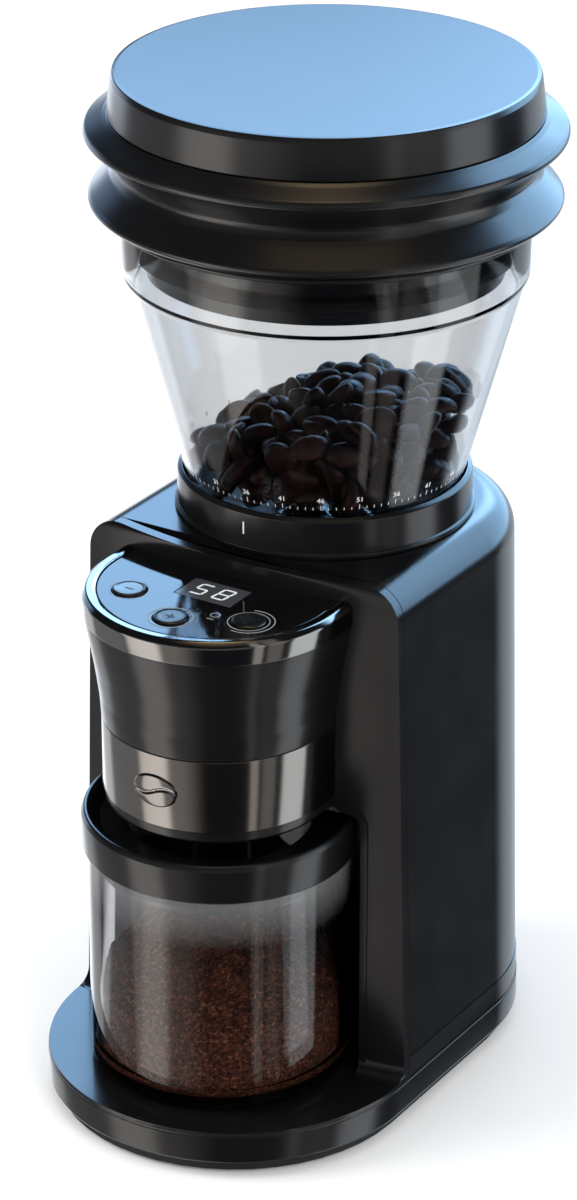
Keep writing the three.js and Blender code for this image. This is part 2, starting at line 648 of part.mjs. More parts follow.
// ---------------------------------------------------------------- burr set
// The cup that the burrs turn in, its duct running forward to the spout, on three posts.
function grindChamber() {
  const inside = CHAMBER_RADIUS - CHAMBER_WALL;
  const bearingHole = BEARING_RADIUS + 0.2;
  const floorTop = CHAMBER_BOTTOM + 6;
  const cup = turned([
    [bearingHole, CHAMBER_BOTTOM], [CHAMBER_RADIUS, CHAMBER_BOTTOM], [CHAMBER_RADIUS, CHAMBER_TOP],
    [inside, CHAMBER_TOP], [inside, floorTop], [bearingHole, floorTop],
  ]);
  const duct = cut(block(-13, 13, -78, -20, 138, 157), rod(inside, 130, 190, 0, 0, ROUND));
  const bore = block(-11, 11, -76, -30, 140, 155);
  const drop = block(-9, 9, SPOUT_Y - 9, SPOUT_Y + 9, 130, 142);
  const post = ([x, y]) => rod(3.2, CHASSIS_Z + 4.1, CHAMBER_BOTTOM + 1, x, y);
  return joined(cut(joined(cup, duct), bore, drop), ...[[-34, -6], [34, -6], [-24, 26]].map(post));
}

// The ring that holds the fixed burr.
function burrCarrier() {
  const { bottom, top, outer } = RING_BURR;
  const seat = outer + 0.2;
  const mouth = 16;
  return turned([
    [seat, bottom], [CARRIER_RADIUS, bottom], [CARRIER_RADIUS, CARRIER_TOP], [mouth, CARRIER_TOP],
    [mouth, top + 0.2], [seat, top + 0.2],
  ], HIDDEN_ROUND);
}

function ringBurr() {
  const { bottom, top, outer, throat, mouth } = RING_BURR;
  const profile = [[mouth, bottom], [outer, bottom], [outer, top], [throat + 3, top], [throat, top - 5]];
  const ring = turned(profile, HIDDEN_ROUND);
  const teeth = 16;
  const grooves = Array.from({ length: teeth }, (_, i) =>
    block(throat - 3, mouth + 1.2, -0.8, 0.8, bottom - 1, bottom + 5).rotate([0, 0, (360 * (i + 0.5)) / teeth]),
  );
  return cut(ring, ...grooves);
}

function coneBurr() {
  const { bottom, top, foot: wide, nose } = CONE_BURR;
  const bore = SHAFT_RADIUS + 0.1;
  const profile = [[bore, bottom], [wide, bottom], [wide, bottom + 2], [nose, top], [bore, top]];
  const cone = turned(profile, HIDDEN_ROUND);
  const flutes = 8;
  const slope = 32;
  const lead = 12;
  const flute = (i) => {
    const sloped = block(nose - 1.5, wide + 8, -1.1, 1.1, 0, 30).rotate([0, slope, lead]);
    return sloped.translate([0, 0, bottom + 2.6]).rotate([0, 0, (360 * i) / flutes]);
  };
  return cut(cone, ...Array.from({ length: flutes }, (_, i) => flute(i)));
}

function burrScrew() {
  const top = CONE_BURR.top + 0.2;
  const head = turned([[0, top], [6.6, top], [6.6, top + 2.2], [4, top + 3.8], [0, top + 3.8]], HIDDEN_ROUND);
  return joined(head, rod(2, top - 6.2, top + 0.8));
}

function driveShaft() {
  const top = CONE_BURR.top - 0.4;
  return cut(rod(SHAFT_RADIUS, CHASSIS_Z - 1, top), rod(2.2, top - 6.2, top + 1));
}

// A bearing ring around the drive shaft.
function bearing(z0, z1) {
  return tube(BEARING_RADIUS, SHAFT_RADIUS + 0.35, z0, z1, 0, 0, FINE_ROUND);
}

function sweeper() {
  const hub = tube(10, SHAFT_RADIUS + 0.1, 140, 149.6, 0, 0, FINE_ROUND);
  const skirt = tube(18, 9, 148, 149.6, 0, 0, HIDDEN_ROUND);
  const blades = [0, 90, 180, 270].map((angle) => block(9, 33, -1.2, 1.2, 140, 149).rotate([0, 0, angle]));
  return joined(hub, skirt, ...blades);
}

add("grind_chamber", "zinc", grindChamber());
add("burr_carrier", "zinc", burrCarrier());
add("ring_burr", "steel", ringBurr());
add("cone_burr", "steel", coneBurr());
add("burr_screw", "zinc", burrScrew());
add("drive_shaft", "zinc", driveShaft());
add("sweeper", "nylon", sweeper());
add("upper_bearing", "steel", bearing(CHAMBER_BOTTOM + 0.2, CHAMBER_BOTTOM + 5.8));
add("lower_bearing", "steel", bearing(CHASSIS_Z + 0.2, CHASSIS_Z + 4.8));

// ---------------------------------------------------------------- gear train and motor
// The intermediate gear sits where its centre distances to the motor and to the burr shaft both hold.
const TO_MOTOR = (MOTOR_MODULE * (TEETH.motor + TEETH.large)) / 2;
const TO_BURR = (BURR_MODULE * (TEETH.small + TEETH.final)) / 2;
const LARGE_Y = (TO_BURR ** 2 - TO_MOTOR ** 2 + MOTOR_Y ** 2) / (2 * MOTOR_Y);
const LARGE_X = Math.sqrt(TO_BURR ** 2 - LARGE_Y ** 2);
const FINAL_TO_SMALL = Math.atan2(LARGE_Y, LARGE_X);
const LARGE_TO_MOTOR = Math.atan2(MOTOR_Y - LARGE_Y, -LARGE_X);

// An involute spur gear's outline with short teeth and backlash, one tooth pointing along phase.
function gearOutline(teeth, module, phase) {
  const pitch = (module * teeth) / 2;
  const base = pitch * Math.cos(20 * DEGREE);
  const root = pitch - 1.12 * module;
  const tip = pitch + 0.78 * module;
  const involute = (radius) => {
    const pressure = Math.acos(Math.min(1, base / radius));
    return Math.tan(pressure) - pressure;
  };
  const halfAtPitch = (Math.PI / teeth) * 0.43;
  const halfAt = (radius) => halfAtPitch + involute(pitch) - involute(Math.max(radius, base));
  const radii = teeth < 20 ? [root, pitch, tip] : [root, tip];
  const outline = [];
  for (let i = 0; i < teeth; i++) {
    const centre = phase + (2 * Math.PI * i) / teeth;
    for (const radius of radii) outline.push([radius, centre - halfAt(radius)]);
    for (const radius of [...radii].reverse()) outline.push([radius, centre + halfAt(radius)]);
  }
  return outline.map(([radius, angle]) => [radius * Math.cos(angle), radius * Math.sin(angle)]);
}

// The phase that puts a gap between two teeth opposite the tooth of the gear it meshes with.
const gapTowards = (angle, teeth) => angle + Math.PI + Math.PI / teeth;
const gear = (teeth, module, phase, z0, z1) => prism(gearOutline(teeth, module, phase), z0, z1);

function finalGear() {
  const wheel = gear(TEETH.final, BURR_MODULE, FINAL_TO_SMALL, 126.8, 131.4);
  return cut(joined(wheel, rod(9, 120, 132.6)), rod(SHAFT_RADIUS + 0.1, 100, 140));
}

function intermediateGear() {
  const large = gear(TEETH.large, MOTOR_MODULE, LARGE_TO_MOTOR, 120.4, 125.2);
  const small = gear(TEETH.small, BURR_MODULE, gapTowards(FINAL_TO_SMALL, TEETH.small), 124.8, 131.8);
  const bore = rod(2.1, 100, 140, LARGE_X, LARGE_Y, 16);
  return cut(joined(large, small).translate([LARGE_X, LARGE_Y, 0]), bore);
}

function motorPinion() {
  const pinion = gear(TEETH.motor, MOTOR_MODULE, gapTowards(LARGE_TO_MOTOR, TEETH.motor), 120, 125.8);
  return cut(pinion.translate([0, MOTOR_Y, 0]), rod(1.7, 100, 140, 0, MOTOR_Y));
}

// The can with a boss at each end, bored for the shaft's free end.
function motor() {
  const bottom = 34;
  const top = 110;
  const neck = MOTOR_RADIUS - 2;
  const can = turned([
    [0, bottom], [neck, bottom], [MOTOR_RADIUS, bottom + 2], [MOTOR_RADIUS, top - 2], [neck, top], [0, top],
  ], HIDDEN_ROUND, 0, MOTOR_Y);
  const upperBoss = rod(7, top - 1, CHASSIS_Z - 0.2, 0, MOTOR_Y);
  const lowerBoss = rod(6, bottom - 3, bottom + 1, 0, MOTOR_Y);
  return cut(joined(can, upperBoss, lowerBoss), rod(1.8, top - 11, top + 10, 0, MOTOR_Y));
}

const MOTOR_SCREWS = [[-13, MOTOR_Y], [13, MOTOR_Y]];

// The plate that carries the motor, the gears and the grind chamber, on two legs.
function chassis() {
  const outline = [[-42, -12], [42, -12], [47, 0], [46, 30], [34, 48], [-34, 48], [-46, 30], [-47, 0]];
  const plate = prism(outline, CHASSIS_Z, CHASSIS_Z + 4);
  const legs = [-44, 36].map((x) => block(x, x + 8, 4, 18, TRAY_TOP + 0.1, CHASSIS_Z + 1));
  const hole = (radius, x, y, segments) => rod(radius, CHASSIS_Z - 5, CHASSIS_Z + 5, x, y, segments);
  return cut(
    joined(plate, ...legs),
    hole(2.1, LARGE_X, LARGE_Y, 16),
    hole(7.2, 0, MOTOR_Y),
    hole(BEARING_RADIUS + 0.2, 0, 0),
    ...MOTOR_SCREWS.map(([x, y]) => hole(1.8, x, y)),
  );
}

function motorScrew([x, y]) {
  const head = rod(3, CHASSIS_Z + 4.2, CHASSIS_Z + 5.8, x, y, 16);
  return joined(head, rod(1.4, CHASSIS_Z - 3.6, CHASSIS_Z + 5, x, y));
}

// A board with a transformer, a relay and a capacitor.
function powerBoard() {
  const top = 21.6;
  const board = block(-34, 34, -8, 44, 20, top);
  const transformer = block(-30, -12, 0, 20, top - 0.6, 30);
  const relay = block(10, 24, 8, 24, top - 0.6, 29);
  return joined(board, transformer, relay, rod(5, top - 0.6, 30, 0, 34));
}

add("final_gear", "nylon", finalGear());
add("intermediate_gear", "nylon", intermediateGear());
add("intermediate_pin", "zinc", rod(2, CHASSIS_Z + 0.2, 132.4, LARGE_X, LARGE_Y, 16));
add("motor_pinion", "zinc", motorPinion());
add("motor_shaft", "zinc", rod(1.6, 100, 126.4, 0, MOTOR_Y));
add("motor", "zinc", motor());
add("chassis", "zinc", chassis());
MOTOR_SCREWS.forEach((place, i) => add(`motor_screw_${i + 1}`, "zinc", motorScrew(place)));
add("power_board", "board", powerBoard());

// ---------------------------------------------------------------- the whole grinder
const grinder = new THREE.Group();
inner.position.y = ORIGIN_BEHIND_BURR;
grinder.add(inner);

export default grinder;
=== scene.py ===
"""Looks of the burr coffee grinder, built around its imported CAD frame. Metres, +Z up, the front faces -Y."""
import math
import random

import bmesh
import bpy
from mathutils import Matrix, Vector, noise


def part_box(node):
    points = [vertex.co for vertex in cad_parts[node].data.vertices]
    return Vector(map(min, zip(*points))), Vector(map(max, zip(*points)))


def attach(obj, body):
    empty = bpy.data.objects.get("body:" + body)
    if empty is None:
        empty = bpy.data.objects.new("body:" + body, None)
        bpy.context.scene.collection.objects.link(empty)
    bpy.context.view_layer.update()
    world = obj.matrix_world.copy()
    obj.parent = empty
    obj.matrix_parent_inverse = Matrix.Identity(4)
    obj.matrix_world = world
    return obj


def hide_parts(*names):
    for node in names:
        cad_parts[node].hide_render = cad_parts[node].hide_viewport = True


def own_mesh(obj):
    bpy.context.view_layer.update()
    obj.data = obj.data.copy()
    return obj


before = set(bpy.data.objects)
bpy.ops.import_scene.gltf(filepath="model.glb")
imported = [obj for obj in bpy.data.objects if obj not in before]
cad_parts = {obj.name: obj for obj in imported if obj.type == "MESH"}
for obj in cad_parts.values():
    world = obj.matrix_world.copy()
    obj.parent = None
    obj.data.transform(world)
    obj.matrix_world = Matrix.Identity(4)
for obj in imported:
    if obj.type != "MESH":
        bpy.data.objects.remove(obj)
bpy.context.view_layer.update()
MM = 0.001

# -------------------- places worked out from the frame
def middle(node):
    low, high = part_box(node)
    return (low + high) / 2


BURR_AXIS = middle("hopper")
SPOUT_AXIS = middle("jar")
SHELL_LOW, SHELL_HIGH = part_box("body_shell")
TRAY_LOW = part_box("base_tray")[0]
JAR_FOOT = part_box("jar")[0].z
BODY_TOP = SHELL_HIGH.z

# Driving dimensions shared with the CAD model.
DRAFT = 0.0264
TOP_HALF = 58.5 * MM
FRONT_EDGE = BURR_AXIS.y - 51.3 * MM
FRONT_BULGE = 6 * MM
PANEL_DEPTH = 3.6 * MM
REAR = BURR_AXIS.y + 64 * MM
REAR_CORNER = 55 * MM
TOP_FILLET = 11 * MM
BASE_HALF = 63.4 * MM
BASE_FRONT_Y = BURR_AXIS.y - 55.4 * MM
TRAY_TOP = 17 * MM
RECESS_RADIUS = 48.4 * MM
RECESS_TOP = 112 * MM
RECESS_ROUND = 4 * MM
BAND = {"bottom": 117.7 * MM, "top": 142.9 * MM, "radius": 37.9 * MM}
PANEL_TOP = 186.8 * MM
GAP = 0.3 * MM
ROUND = 160  # segments of a large turned piece
FINE = 64  # segments of a small turned piece


# -------------------- meshes
def finish_mesh(name, mesh, crease=35):
    mesh.shade_smooth()
    mesh.set_sharp_from_angle(angle=math.radians(crease))
    piece = bpy.data.objects.new(name, mesh)
    bpy.context.scene.collection.objects.link(piece)
    return piece


def mesh_of(name, points, faces, crease=35):
    mesh = bpy.data.meshes.new(name)
    mesh.from_pydata([tuple(p) for p in points], [], faces)
    work = bmesh.new()
    work.from_mesh(mesh)
    bmesh.ops.remove_doubles(work, verts=work.verts, dist=1e-7)
    bmesh.ops.recalc_face_normals(work, faces=work.faces)
    work.to_mesh(mesh)
    work.free()
    return finish_mesh(name, mesh, crease)


def rounded(corners, closed=True, steps=5):
    """A profile of (r, z, corner radius) in mm as points in metres, its corners rounded by arcs."""
    made = []
    count = len(corners)
    for i, (r, z, radius) in enumerate(corners):
        here = Vector((r, z))
        if radius <= 0 or (not closed and i in (0, count - 1)):
            made.append(here)
            continue
        before = Vector(corners[i - 1][:2])
        after = Vector(corners[(i + 1) % count][:2])
        a = (before - here).normalized()
        b = (after - here).normalized()
        half = a.angle(b) / 2
        reach = min(radius / math.tan(half), 0.48 * (before - here).length, 0.48 * (after - here).length)
        centre = here + (a + b).normalized() * (reach / math.cos(half))
        size = reach * math.tan(half)
        start = (here + a * reach) - centre
        turn = start.angle_signed((here + b * reach) - centre)
        for k in range(steps + 1):
            angle = -turn * k / steps
            cos, sin = math.cos(angle), math.sin(angle)
            spoke = Vector((start.x * cos - start.y * sin, start.x * sin + start.y * cos))
            made.append(centre + spoke.normalized() * size)
    return [(p.x * MM, p.y * MM) for p in made]


def lathe(name, corners, centre, segments=ROUND, closed=True, crease=35):
    """Corners turned about the upright axis through centre. An open profile starts and ends on the axis."""
    profile = rounded(corners, closed)
    points, faces = [], []
    count = len(profile)
    for s in range(segments):
        angle = 2 * math.pi * s / segments
        points += [(centre.x + r * math.sin(angle), centre.y - r * math.cos(angle), z) for r, z in profile]
    for s in range(segments):
        a, b = s * count, ((s + 1) % segments) * count
        for i in range(count if closed else count - 1):
            j = (i + 1) % count
            faces.append((a + i, b + i, b + j, a + j))
    return mesh_of(name, points, faces, crease)


def loft(name, levels, crease=35):
    """A closed skin over level outlines with equal numbers of (x, y) points."""
    count = len(levels[0][1])
    points = [(x, y, z) for z, outline in levels for x, y in outline]
    faces = [
        (k * count + i, k * count + (i + 1) % count, (k + 1) * count + (i + 1) % count, (k + 1) * count + i)
        for k in range(len(levels) - 1)
        for i in range(count)
    ]
    faces += [tuple(range(count)), tuple(range((len(levels) - 1) * count, len(levels) * count))]
    return mesh_of(name, points, faces, crease)


def carve(piece, *tools, operation="DIFFERENCE"):
    """Cuts the tools out of a piece, or joins them to it, and removes them."""
    for tool in tools:
        modifier = piece.modifiers.new("cut", "BOOLEAN")
        modifier.object = tool
        modifier.operation = operation
        modifier.solver = "EXACT"
        apply_modifiers(piece)
        bpy.data.objects.remove(tool)
    return shade(piece, 35)


def shade(piece, crease):
    """Smooth shading that keeps sharp edges sharp and large flat faces flat."""
    piece.data.shade_smooth()
    piece.data.set_sharp_from_angle(angle=math.radians(crease))
    weighted = piece.modifiers.new("flat_faces", "WEIGHTED_NORMAL")
    weighted.keep_sharp = True
    apply_modifiers(piece)
    return piece


def apply_modifiers(piece):
    bpy.context.view_layer.update()
    evaluated = piece.evaluated_get(bpy.context.evaluated_depsgraph_get())
    mesh = bpy.data.meshes.new_from_object(evaluated)
    piece.modifiers.clear()
    piece.data = mesh


def soften(piece, width, segments=3):
    """Rounds a piece's hard edges, as a mould or a press does."""
    bevel = piece.modifiers.new("soft_edges", "BEVEL")
    bevel.width = width
    bevel.segments = segments
    bevel.limit_method = "ANGLE"
    bevel.angle_limit = math.radians(35)
    bevel.harden_normals = True
    apply_modifiers(piece)
    return shade(piece, 40)


def dress(piece, body, finish, slot, *nodes):
    """Gives a piece its body and its material, and hides the CAD nodes it stands for. The slot is not used."""
    piece.data.materials.clear()
    piece.data.materials.append(finish)
    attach(piece, body)
    if nodes:
        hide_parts(*nodes)
    return piece


def arc(x, y, radius, start, end, steps):
    angles = [math.radians(start + (end - start) * i / steps) for i in range(steps + 1)]
    return [(x + radius * math.cos(a), y + radius * math.sin(a)) for a in angles]


# -------------------- materials
def shader(name, **sockets):
    material = bpy.data.materials.new(name)
    material.use_nodes = True
    surface = material.node_tree.nodes["Principled BSDF"]
    for socket, value in sockets.items():
        surface.inputs[socket.replace("_", " ")].default_value = value
    return material, surface


def add_node(material, kind):
    return material.node_tree.nodes.new(kind)


def link(material, source, target):
    material.node_tree.links.new(source, target)


def place(material, stretch=(1, 1, 1)):
    """Coordinates fixed to the object, in metres, stretched along the axes."""
    coordinates = add_node(material, "ShaderNodeTexCoord")
    mapping = add_node(material, "ShaderNodeMapping")
    mapping.inputs["Scale"].default_value = stretch
    link(material, coordinates.outputs["Object"], mapping.inputs["Vector"])
    return mapping.outputs["Vector"]


def noise_at(material, scale, detail=3.0, vector=None):
    texture = add_node(material, "ShaderNodeTexNoise")
    texture.inputs["Scale"].default_value = scale
    texture.inputs["Detail"].default_value = detail
    link(material, vector or place(material), texture.inputs["Vector"])
    return texture.outputs["Fac"]


def spread(material, value, low, high, from_low=0.3, from_high=0.7):
    """A noise value mapped to a range, for a roughness."""
    ranged = add_node(material, "ShaderNodeMapRange")
    ranged.inputs["From Min"].default_value = from_low
    ranged.inputs["From Max"].default_value = from_high
    ranged.inputs["To Min"].default_value = low
    ranged.inputs["To Max"].default_value = high
    link(material, value, ranged.inputs["Value"])
    return ranged.outputs["Result"]


def shades(material, value, *stops):
    """A noise value mapped to colours: (place, (r, g, b)) stops."""
    ramp = add_node(material, "ShaderNodeValToRGB")
    elements = ramp.color_ramp.elements
    while len(elements) < len(stops):
        elements.new(0.5)
    for element, (position, color) in zip(elements, stops):
        element.position = position
        element.color = (*color, 1)
    link(material, value, ramp.inputs["Fac"])
    return ramp.outputs["Color"]


def bump(material, surface, height, strength, distance):
    node = add_node(material, "ShaderNodeBump")
    node.inputs["Strength"].default_value = strength
    node.inputs["Distance"].default_value = distance
    link(material, height, node.inputs["Height"])
    link(material, node.outputs["Normal"], surface.inputs["Normal"])


def moulded(name, dark, light, rough, grain=2600, strength=0.12, spread_by=0.06, **extra):
    """Moulded plastic or rubber: a fine spark-eroded grain, and a slow drift in shade and in gloss."""
    material, surface = shader(name, **extra)
    drift = noise_at(material, 45, 2.0)
    fine = noise_at(material, grain, 2.0)
    link(material, shades(material, drift, (0.3, dark), (0.7, light)), surface.inputs["Base Color"])
    link(material, spread(material, drift, rough - spread_by, rough + spread_by), surface.inputs["Roughness"])
    bump(material, surface, fine, strength, 0.00006)
    return material


def metal(name, color, rough, streak=(1, 1, 1), scale=400, strength=0.1, spread_by=0.05, darken=0.06):
    """Metal with a worked surface: streak stretches its fine lines along the way it was worked."""
    material, surface = shader(name, Metallic=1.0)
    lines = noise_at(material, scale, 3.0, place(material, streak))
    darker = tuple(c * (1 - darken) for c in color)
    link(material, shades(material, lines, (0.3, darker), (0.7, color)), surface.inputs["Base Color"])
    link(material, spread(material, lines, rough - spread_by, rough + spread_by), surface.inputs["Roughness"])
    bump(material, surface, lines, strength, 0.00003)
    return material


def clear(name, tint, rough, haze=None):
    """Clear moulded plastic with faint flow marks; haze is (low z, high z, clearness) of a clouding."""
    material, surface = shader(name, Transmission_Weight=1.0, IOR=1.49, Base_Color=(*tint, 1))
    flow = noise_at(material, 30, 2.0, place(material, (1, 1, 0.25)))
    link(material, spread(material, flow, rough, rough + 0.025), surface.inputs["Roughness"])
    bump(material, surface, flow, 0.12, 0.0005)
    if haze:
        low, high, clearness = haze
        height = add_node(material, "ShaderNodeSeparateXYZ")
        link(material, place(material), height.inputs["Vector"])
        clouded = spread(material, height.outputs["Z"], 1.0, clearness, low, high)
        link(material, clouded, surface.inputs["Transmission Weight"])
    return material


def printed(name, color, rough=0.5, glow=0.0):
    """A printed or lit mark with slightly uneven ink."""
    material, surface = shader(name, Roughness=rough, Emission_Color=(*color, 1), Emission_Strength=glow)
    ink = noise_at(material, 1500, 2.0)
    faded = tuple(0.88 * c for c in color)
    link(material, shades(material, ink, (0.35, faded), (0.6, color)), surface.inputs["Base Color"])
    return material


BLACK = moulded("satin_black", (0.0035, 0.0036, 0.004), (0.005, 0.0051, 0.0055), 0.2, spread_by=0.015,
                Specular_IOR_Level=0.8)
LID_BLACK = moulded("lid_satin_black", (0.0037, 0.0039, 0.0043), (0.0046, 0.0048, 0.0052), 0.22,
                    strength=0.06, spread_by=0.008, Specular_IOR_Level=0.9)
SILICONE = moulded("silicone_black", (0.0038, 0.0038, 0.004), (0.0052, 0.0052, 0.0055), 0.24, grain=1800,
                   spread_by=0.02, Specular_IOR_Level=1.0)
RUBBER = moulded("matt_rubber", (0.008, 0.008, 0.0085), (0.014, 0.014, 0.0145), 0.66, grain=1500,
                 strength=0.25)
INNER_BLACK = moulded("inner_black", (0.006, 0.006, 0.0065), (0.01, 0.01, 0.0105), 0.4)
GLOSS = moulded("piano_black", (0.0025, 0.0026, 0.003), (0.004, 0.0041, 0.0046), 0.06, strength=0.01,
                spread_by=0.02, Specular_IOR_Level=0.8)
SCREEN = moulded("smoked_window", (0.042, 0.044, 0.048), (0.05, 0.052, 0.056), 0.14, strength=0.01,
                 spread_by=0.02)
CHROME = metal("bright_trim", (0.34, 0.335, 0.325), 0.1, scale=300, strength=0.02, spread_by=0.02,
               darken=0.03)
BAND_STEEL = metal("brushed_band", (0.33, 0.315, 0.3), 0.13, streak=(0.05, 0.05, 5), scale=900, strength=0.1,
                   spread_by=0.03)
BUTTON_METAL = metal("button_metal", (0.2, 0.19, 0.18), 0.32, streak=(2.5, 1, 1), scale=420, strength=1.0)
BURR_STEEL = metal("ground_steel", (0.56, 0.56, 0.57), 0.28, streak=(1, 1, 4), scale=700, strength=0.2)
TURNED_STEEL = metal("turned_steel", (0.6, 0.6, 0.61), 0.3, streak=(0.2, 0.2, 6), scale=700, strength=0.15)
ZINC = metal("cast_zinc", (0.5, 0.51, 0.53), 0.45, scale=500, strength=0.35, spread_by=0.1, darken=0.15)
MOTOR_CAN = metal("plated_can", (0.47, 0.48, 0.5), 0.33, streak=(1, 1, 0.1), scale=600, strength=0.12)
NYLON = moulded("natural_nylon", (0.62, 0.58, 0.47), (0.7, 0.66, 0.55), 0.45, grain=900,
                Subsurface_Weight=0.1)
BOARD = moulded("circuit_board", (0.015, 0.09, 0.045), (0.02, 0.13, 0.06), 0.35, grain=1200)
CLEAR = clear("clear_hopper", (0.82, 0.835, 0.85), 0.01)
JAR_CLEAR = clear("clear_jar", (0.86, 0.87, 0.885), 0.012, haze=(0.078, 0.1, 0.88))
INK = printed("white_print", (0.78, 0.78, 0.78))
PANEL_INK = printed("grey_print", (0.32, 0.32, 0.33))
DIGITS = printed("lit_digits", (0.7, 0.72, 0.74), 0.4, 0.15)

# Pieces inside the grinder and under it, which keep their CAD shapes.
CAD_FINISHES = [
    (RUBBER, "base_plate", "cord_gland", "spout"),
    (BURR_STEEL, "bean_guard", "ring_burr", "cone_burr"),
    (ZINC, "grind_chamber", "burr_carrier", "chassis"),
    (TURNED_STEEL, "burr_screw", "drive_shaft", "upper_bearing", "lower_bearing", "intermediate_pin"),
    (TURNED_STEEL, "motor_pinion", "motor_shaft", "motor_screw_1", "motor_screw_2"),
    (TURNED_STEEL, "base_screw_1", "base_screw_2", "base_screw_3", "base_screw_4"),
    (NYLON, "sweeper", "final_gear", "intermediate_gear"),
    (MOTOR_CAN, "motor"),
    (BOARD, "power_board", "control_board"),
    (INNER_BLACK, "display_module"),
]
for finish, *nodes in CAD_FINISHES:
    for node in nodes:
        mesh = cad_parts[node].data
        mesh.materials.clear()
        mesh.materials.append(finish)


# -------------------- outlines of the body and the base
def half_width(z):
    return TOP_HALF + (BODY_TOP - z) * DRAFT


def front_at(x, half):
    return FRONT_EDGE - FRONT_BULGE * (1 - (x / half) ** 2)


def rear_corners(half, rear, corner, steps=24):
    return [
        *arc(half - corner, rear - corner, corner, 0, 90, steps),
        *arc(corner - half, rear - corner, corner, 90, 180, steps),
    ]


def shell_outline(z, inset, front):
    half = half_width(z) - inset
    corner = min(REAR_CORNER - inset, half - 0.5 * MM)
    return [(half, front), *rear_corners(half, REAR - inset, corner), (-half, front)]


def shoulder(inset, steps=12):
    centre = BODY_TOP - TOP_FILLET
    radius = TOP_FILLET - inset
    for i in range(steps + 1):
        angle = math.radians(90 * i / steps)
        yield centre + radius * math.sin(angle), inset + radius * (1 - math.cos(angle))


def shell_levels(bottom, inset, front):
    return [(bottom, shell_outline(bottom, inset, front))] + [
        (z, shell_outline(z, drawn_in, front)) for z, drawn_in in shoulder(inset)
    ]


def base_outline(inset):
    half = BASE_HALF - inset
    rear = REAR + 0.6 * MM - inset
    return [*arc(0, BASE_FRONT_Y, half, 180, 360, 96), *rear_corners(half, rear, REAR_CORNER - inset)]


def face_line(half, forward, steps=48):
    xs = [-half + 2 * half * i / steps for i in range(steps + 1)]
    return [(x, front_at(x, half) - forward) for x in xs]


def box_mesh(name, low, high):
    (x0, y0, z0), (x1, y1, z1) = low, high
    return loft(name, [(z, [(x0, y0), (x1, y0), (x1, y1), (x0, y1)]) for z in (z0, z1)])


def drum(name, x, y, radius, bottom, top, segments=96):
    outline = arc(x, y, radius, 0, 360 - 360 / segments, segments - 1)
    return loft(name, [(bottom, outline), (top, outline)])


# -------------------- base
WALL = 2.6 * MM
SEAM_Z = 24 * MM
SHELL_FRONT = FRONT_EDGE + PANEL_DEPTH + GAP


def build_base():
    low = TRAY_LOW.z
    rim = [(0.0, 0.8), (0.4, 0.25), (1.0, 0.0)]
    lip = [(2.0, 0.0), (1.9, 0.35), (1.55, 0.35), (1.45, 0.0), (0.9, 0.05), (0.45, 0.35),
           (0.15, 0.85), (0.0, 1.6)]
    levels = [(low + up * MM, base_outline(inset * MM)) for up, inset in rim]
    levels += [(TRAY_TOP - down * MM, base_outline(inset * MM)) for down, inset in lip]
    tray = loft("base_tray_skin", levels)
    kerb = loft("kerb", [(z, base_outline(0.3 * MM)) for z in (TRAY_TOP - 2.6 * MM, SEAM_Z)])
    room = loft("kerb_room", [(z, base_outline(WALL)) for z in (TRAY_TOP, SEAM_Z + MM)])
    front = box_mesh("kerb_front", (-0.1, -0.2, TRAY_TOP + 0.01 * MM), (0.1, SHELL_FRONT, SEAM_Z + MM))
    carve(kerb, room, front)
    carve(tray, kerb, operation="UNION")
    hollow = loft("tray_hollow", [(z, base_outline(WALL)) for z in (low - MM, TRAY_TOP - 3 * MM)])
    carve(tray, hollow)
    dress(tray, "housing", BLACK, "body_black", "base_tray")
    for i in range(1, 5):
        where = middle(f"foot_{i}")
        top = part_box(f"foot_{i}")[1].z / MM
        sole = [(0, 0, 0), (7.6, 0, 0), (8.3, 0.35, 0.3), (9, 0.9, 0.4), (9, top, 0), (0, top, 0)]
        pad = lathe(f"foot_pad_{i}", sole, where, FINE, closed=False)
        dress(pad, "housing", RUBBER, "foot_rubber", f"foot_{i}")


# -------------------- body
def lay_down(tool, x, y, z):
    """Lays an upright tool down along Y, centred at a place."""
    tool.data.transform(Matrix.Translation(Vector((x, y, z))) @ Matrix.Rotation(math.pi / 2, 4, "X"))


def build_body():
    shell = loft("body_shell_skin", shell_levels(SHELL_LOW.z, 0, SHELL_FRONT))
    room = loft("shell_room", shell_levels(SHELL_LOW.z - MM, WALL, SHELL_FRONT - 5 * MM))
    mouth = drum("mouth", BURR_AXIS.x, BURR_AXIS.y, 42.5 * MM, BODY_TOP - 10 * MM, BODY_TOP + 5 * MM)
    gland = middle("cord_gland")
    gland_hole = drum("gland_hole", 0, 0, 6.3 * MM, -10 * MM, 10 * MM, 48)
    lay_down(gland_hole, 0, REAR, gland.z)
    slots = []
    for i in range(-3, 4):
        outline = [*arc(0, 14 * MM, 1.2 * MM, 0, 180, 8), *arc(0, -14 * MM, 1.2 * MM, 180, 360, 8)]
        slot = loft(f"vent_{i + 3}", [(z, outline) for z in (-20 * MM, 20 * MM)])
        lay_down(slot, i * 6 * MM, REAR - 4 * MM, 70 * MM)
        slots.append(slot)
    carve(shell, room, mouth, gland_hole, *slots)
    soften(shell, 0.45 * MM)
    dress(shell, "housing", BLACK, "body_black", "body_shell")


def jar_room(name, grown, bottom):
    """The room that the jar stands in, its wall rounded over into a flat ceiling, grown all round."""
    radius, top, corner = ((size + grown) / MM for size in (RECESS_RADIUS, RECESS_TOP, RECESS_ROUND))
    profile = [(0, bottom / MM, 0), (radius, bottom / MM, 0), (radius, top, corner), (0, top, 0)]
    return lathe(name, profile, SPOUT_AXIS, closed=False)


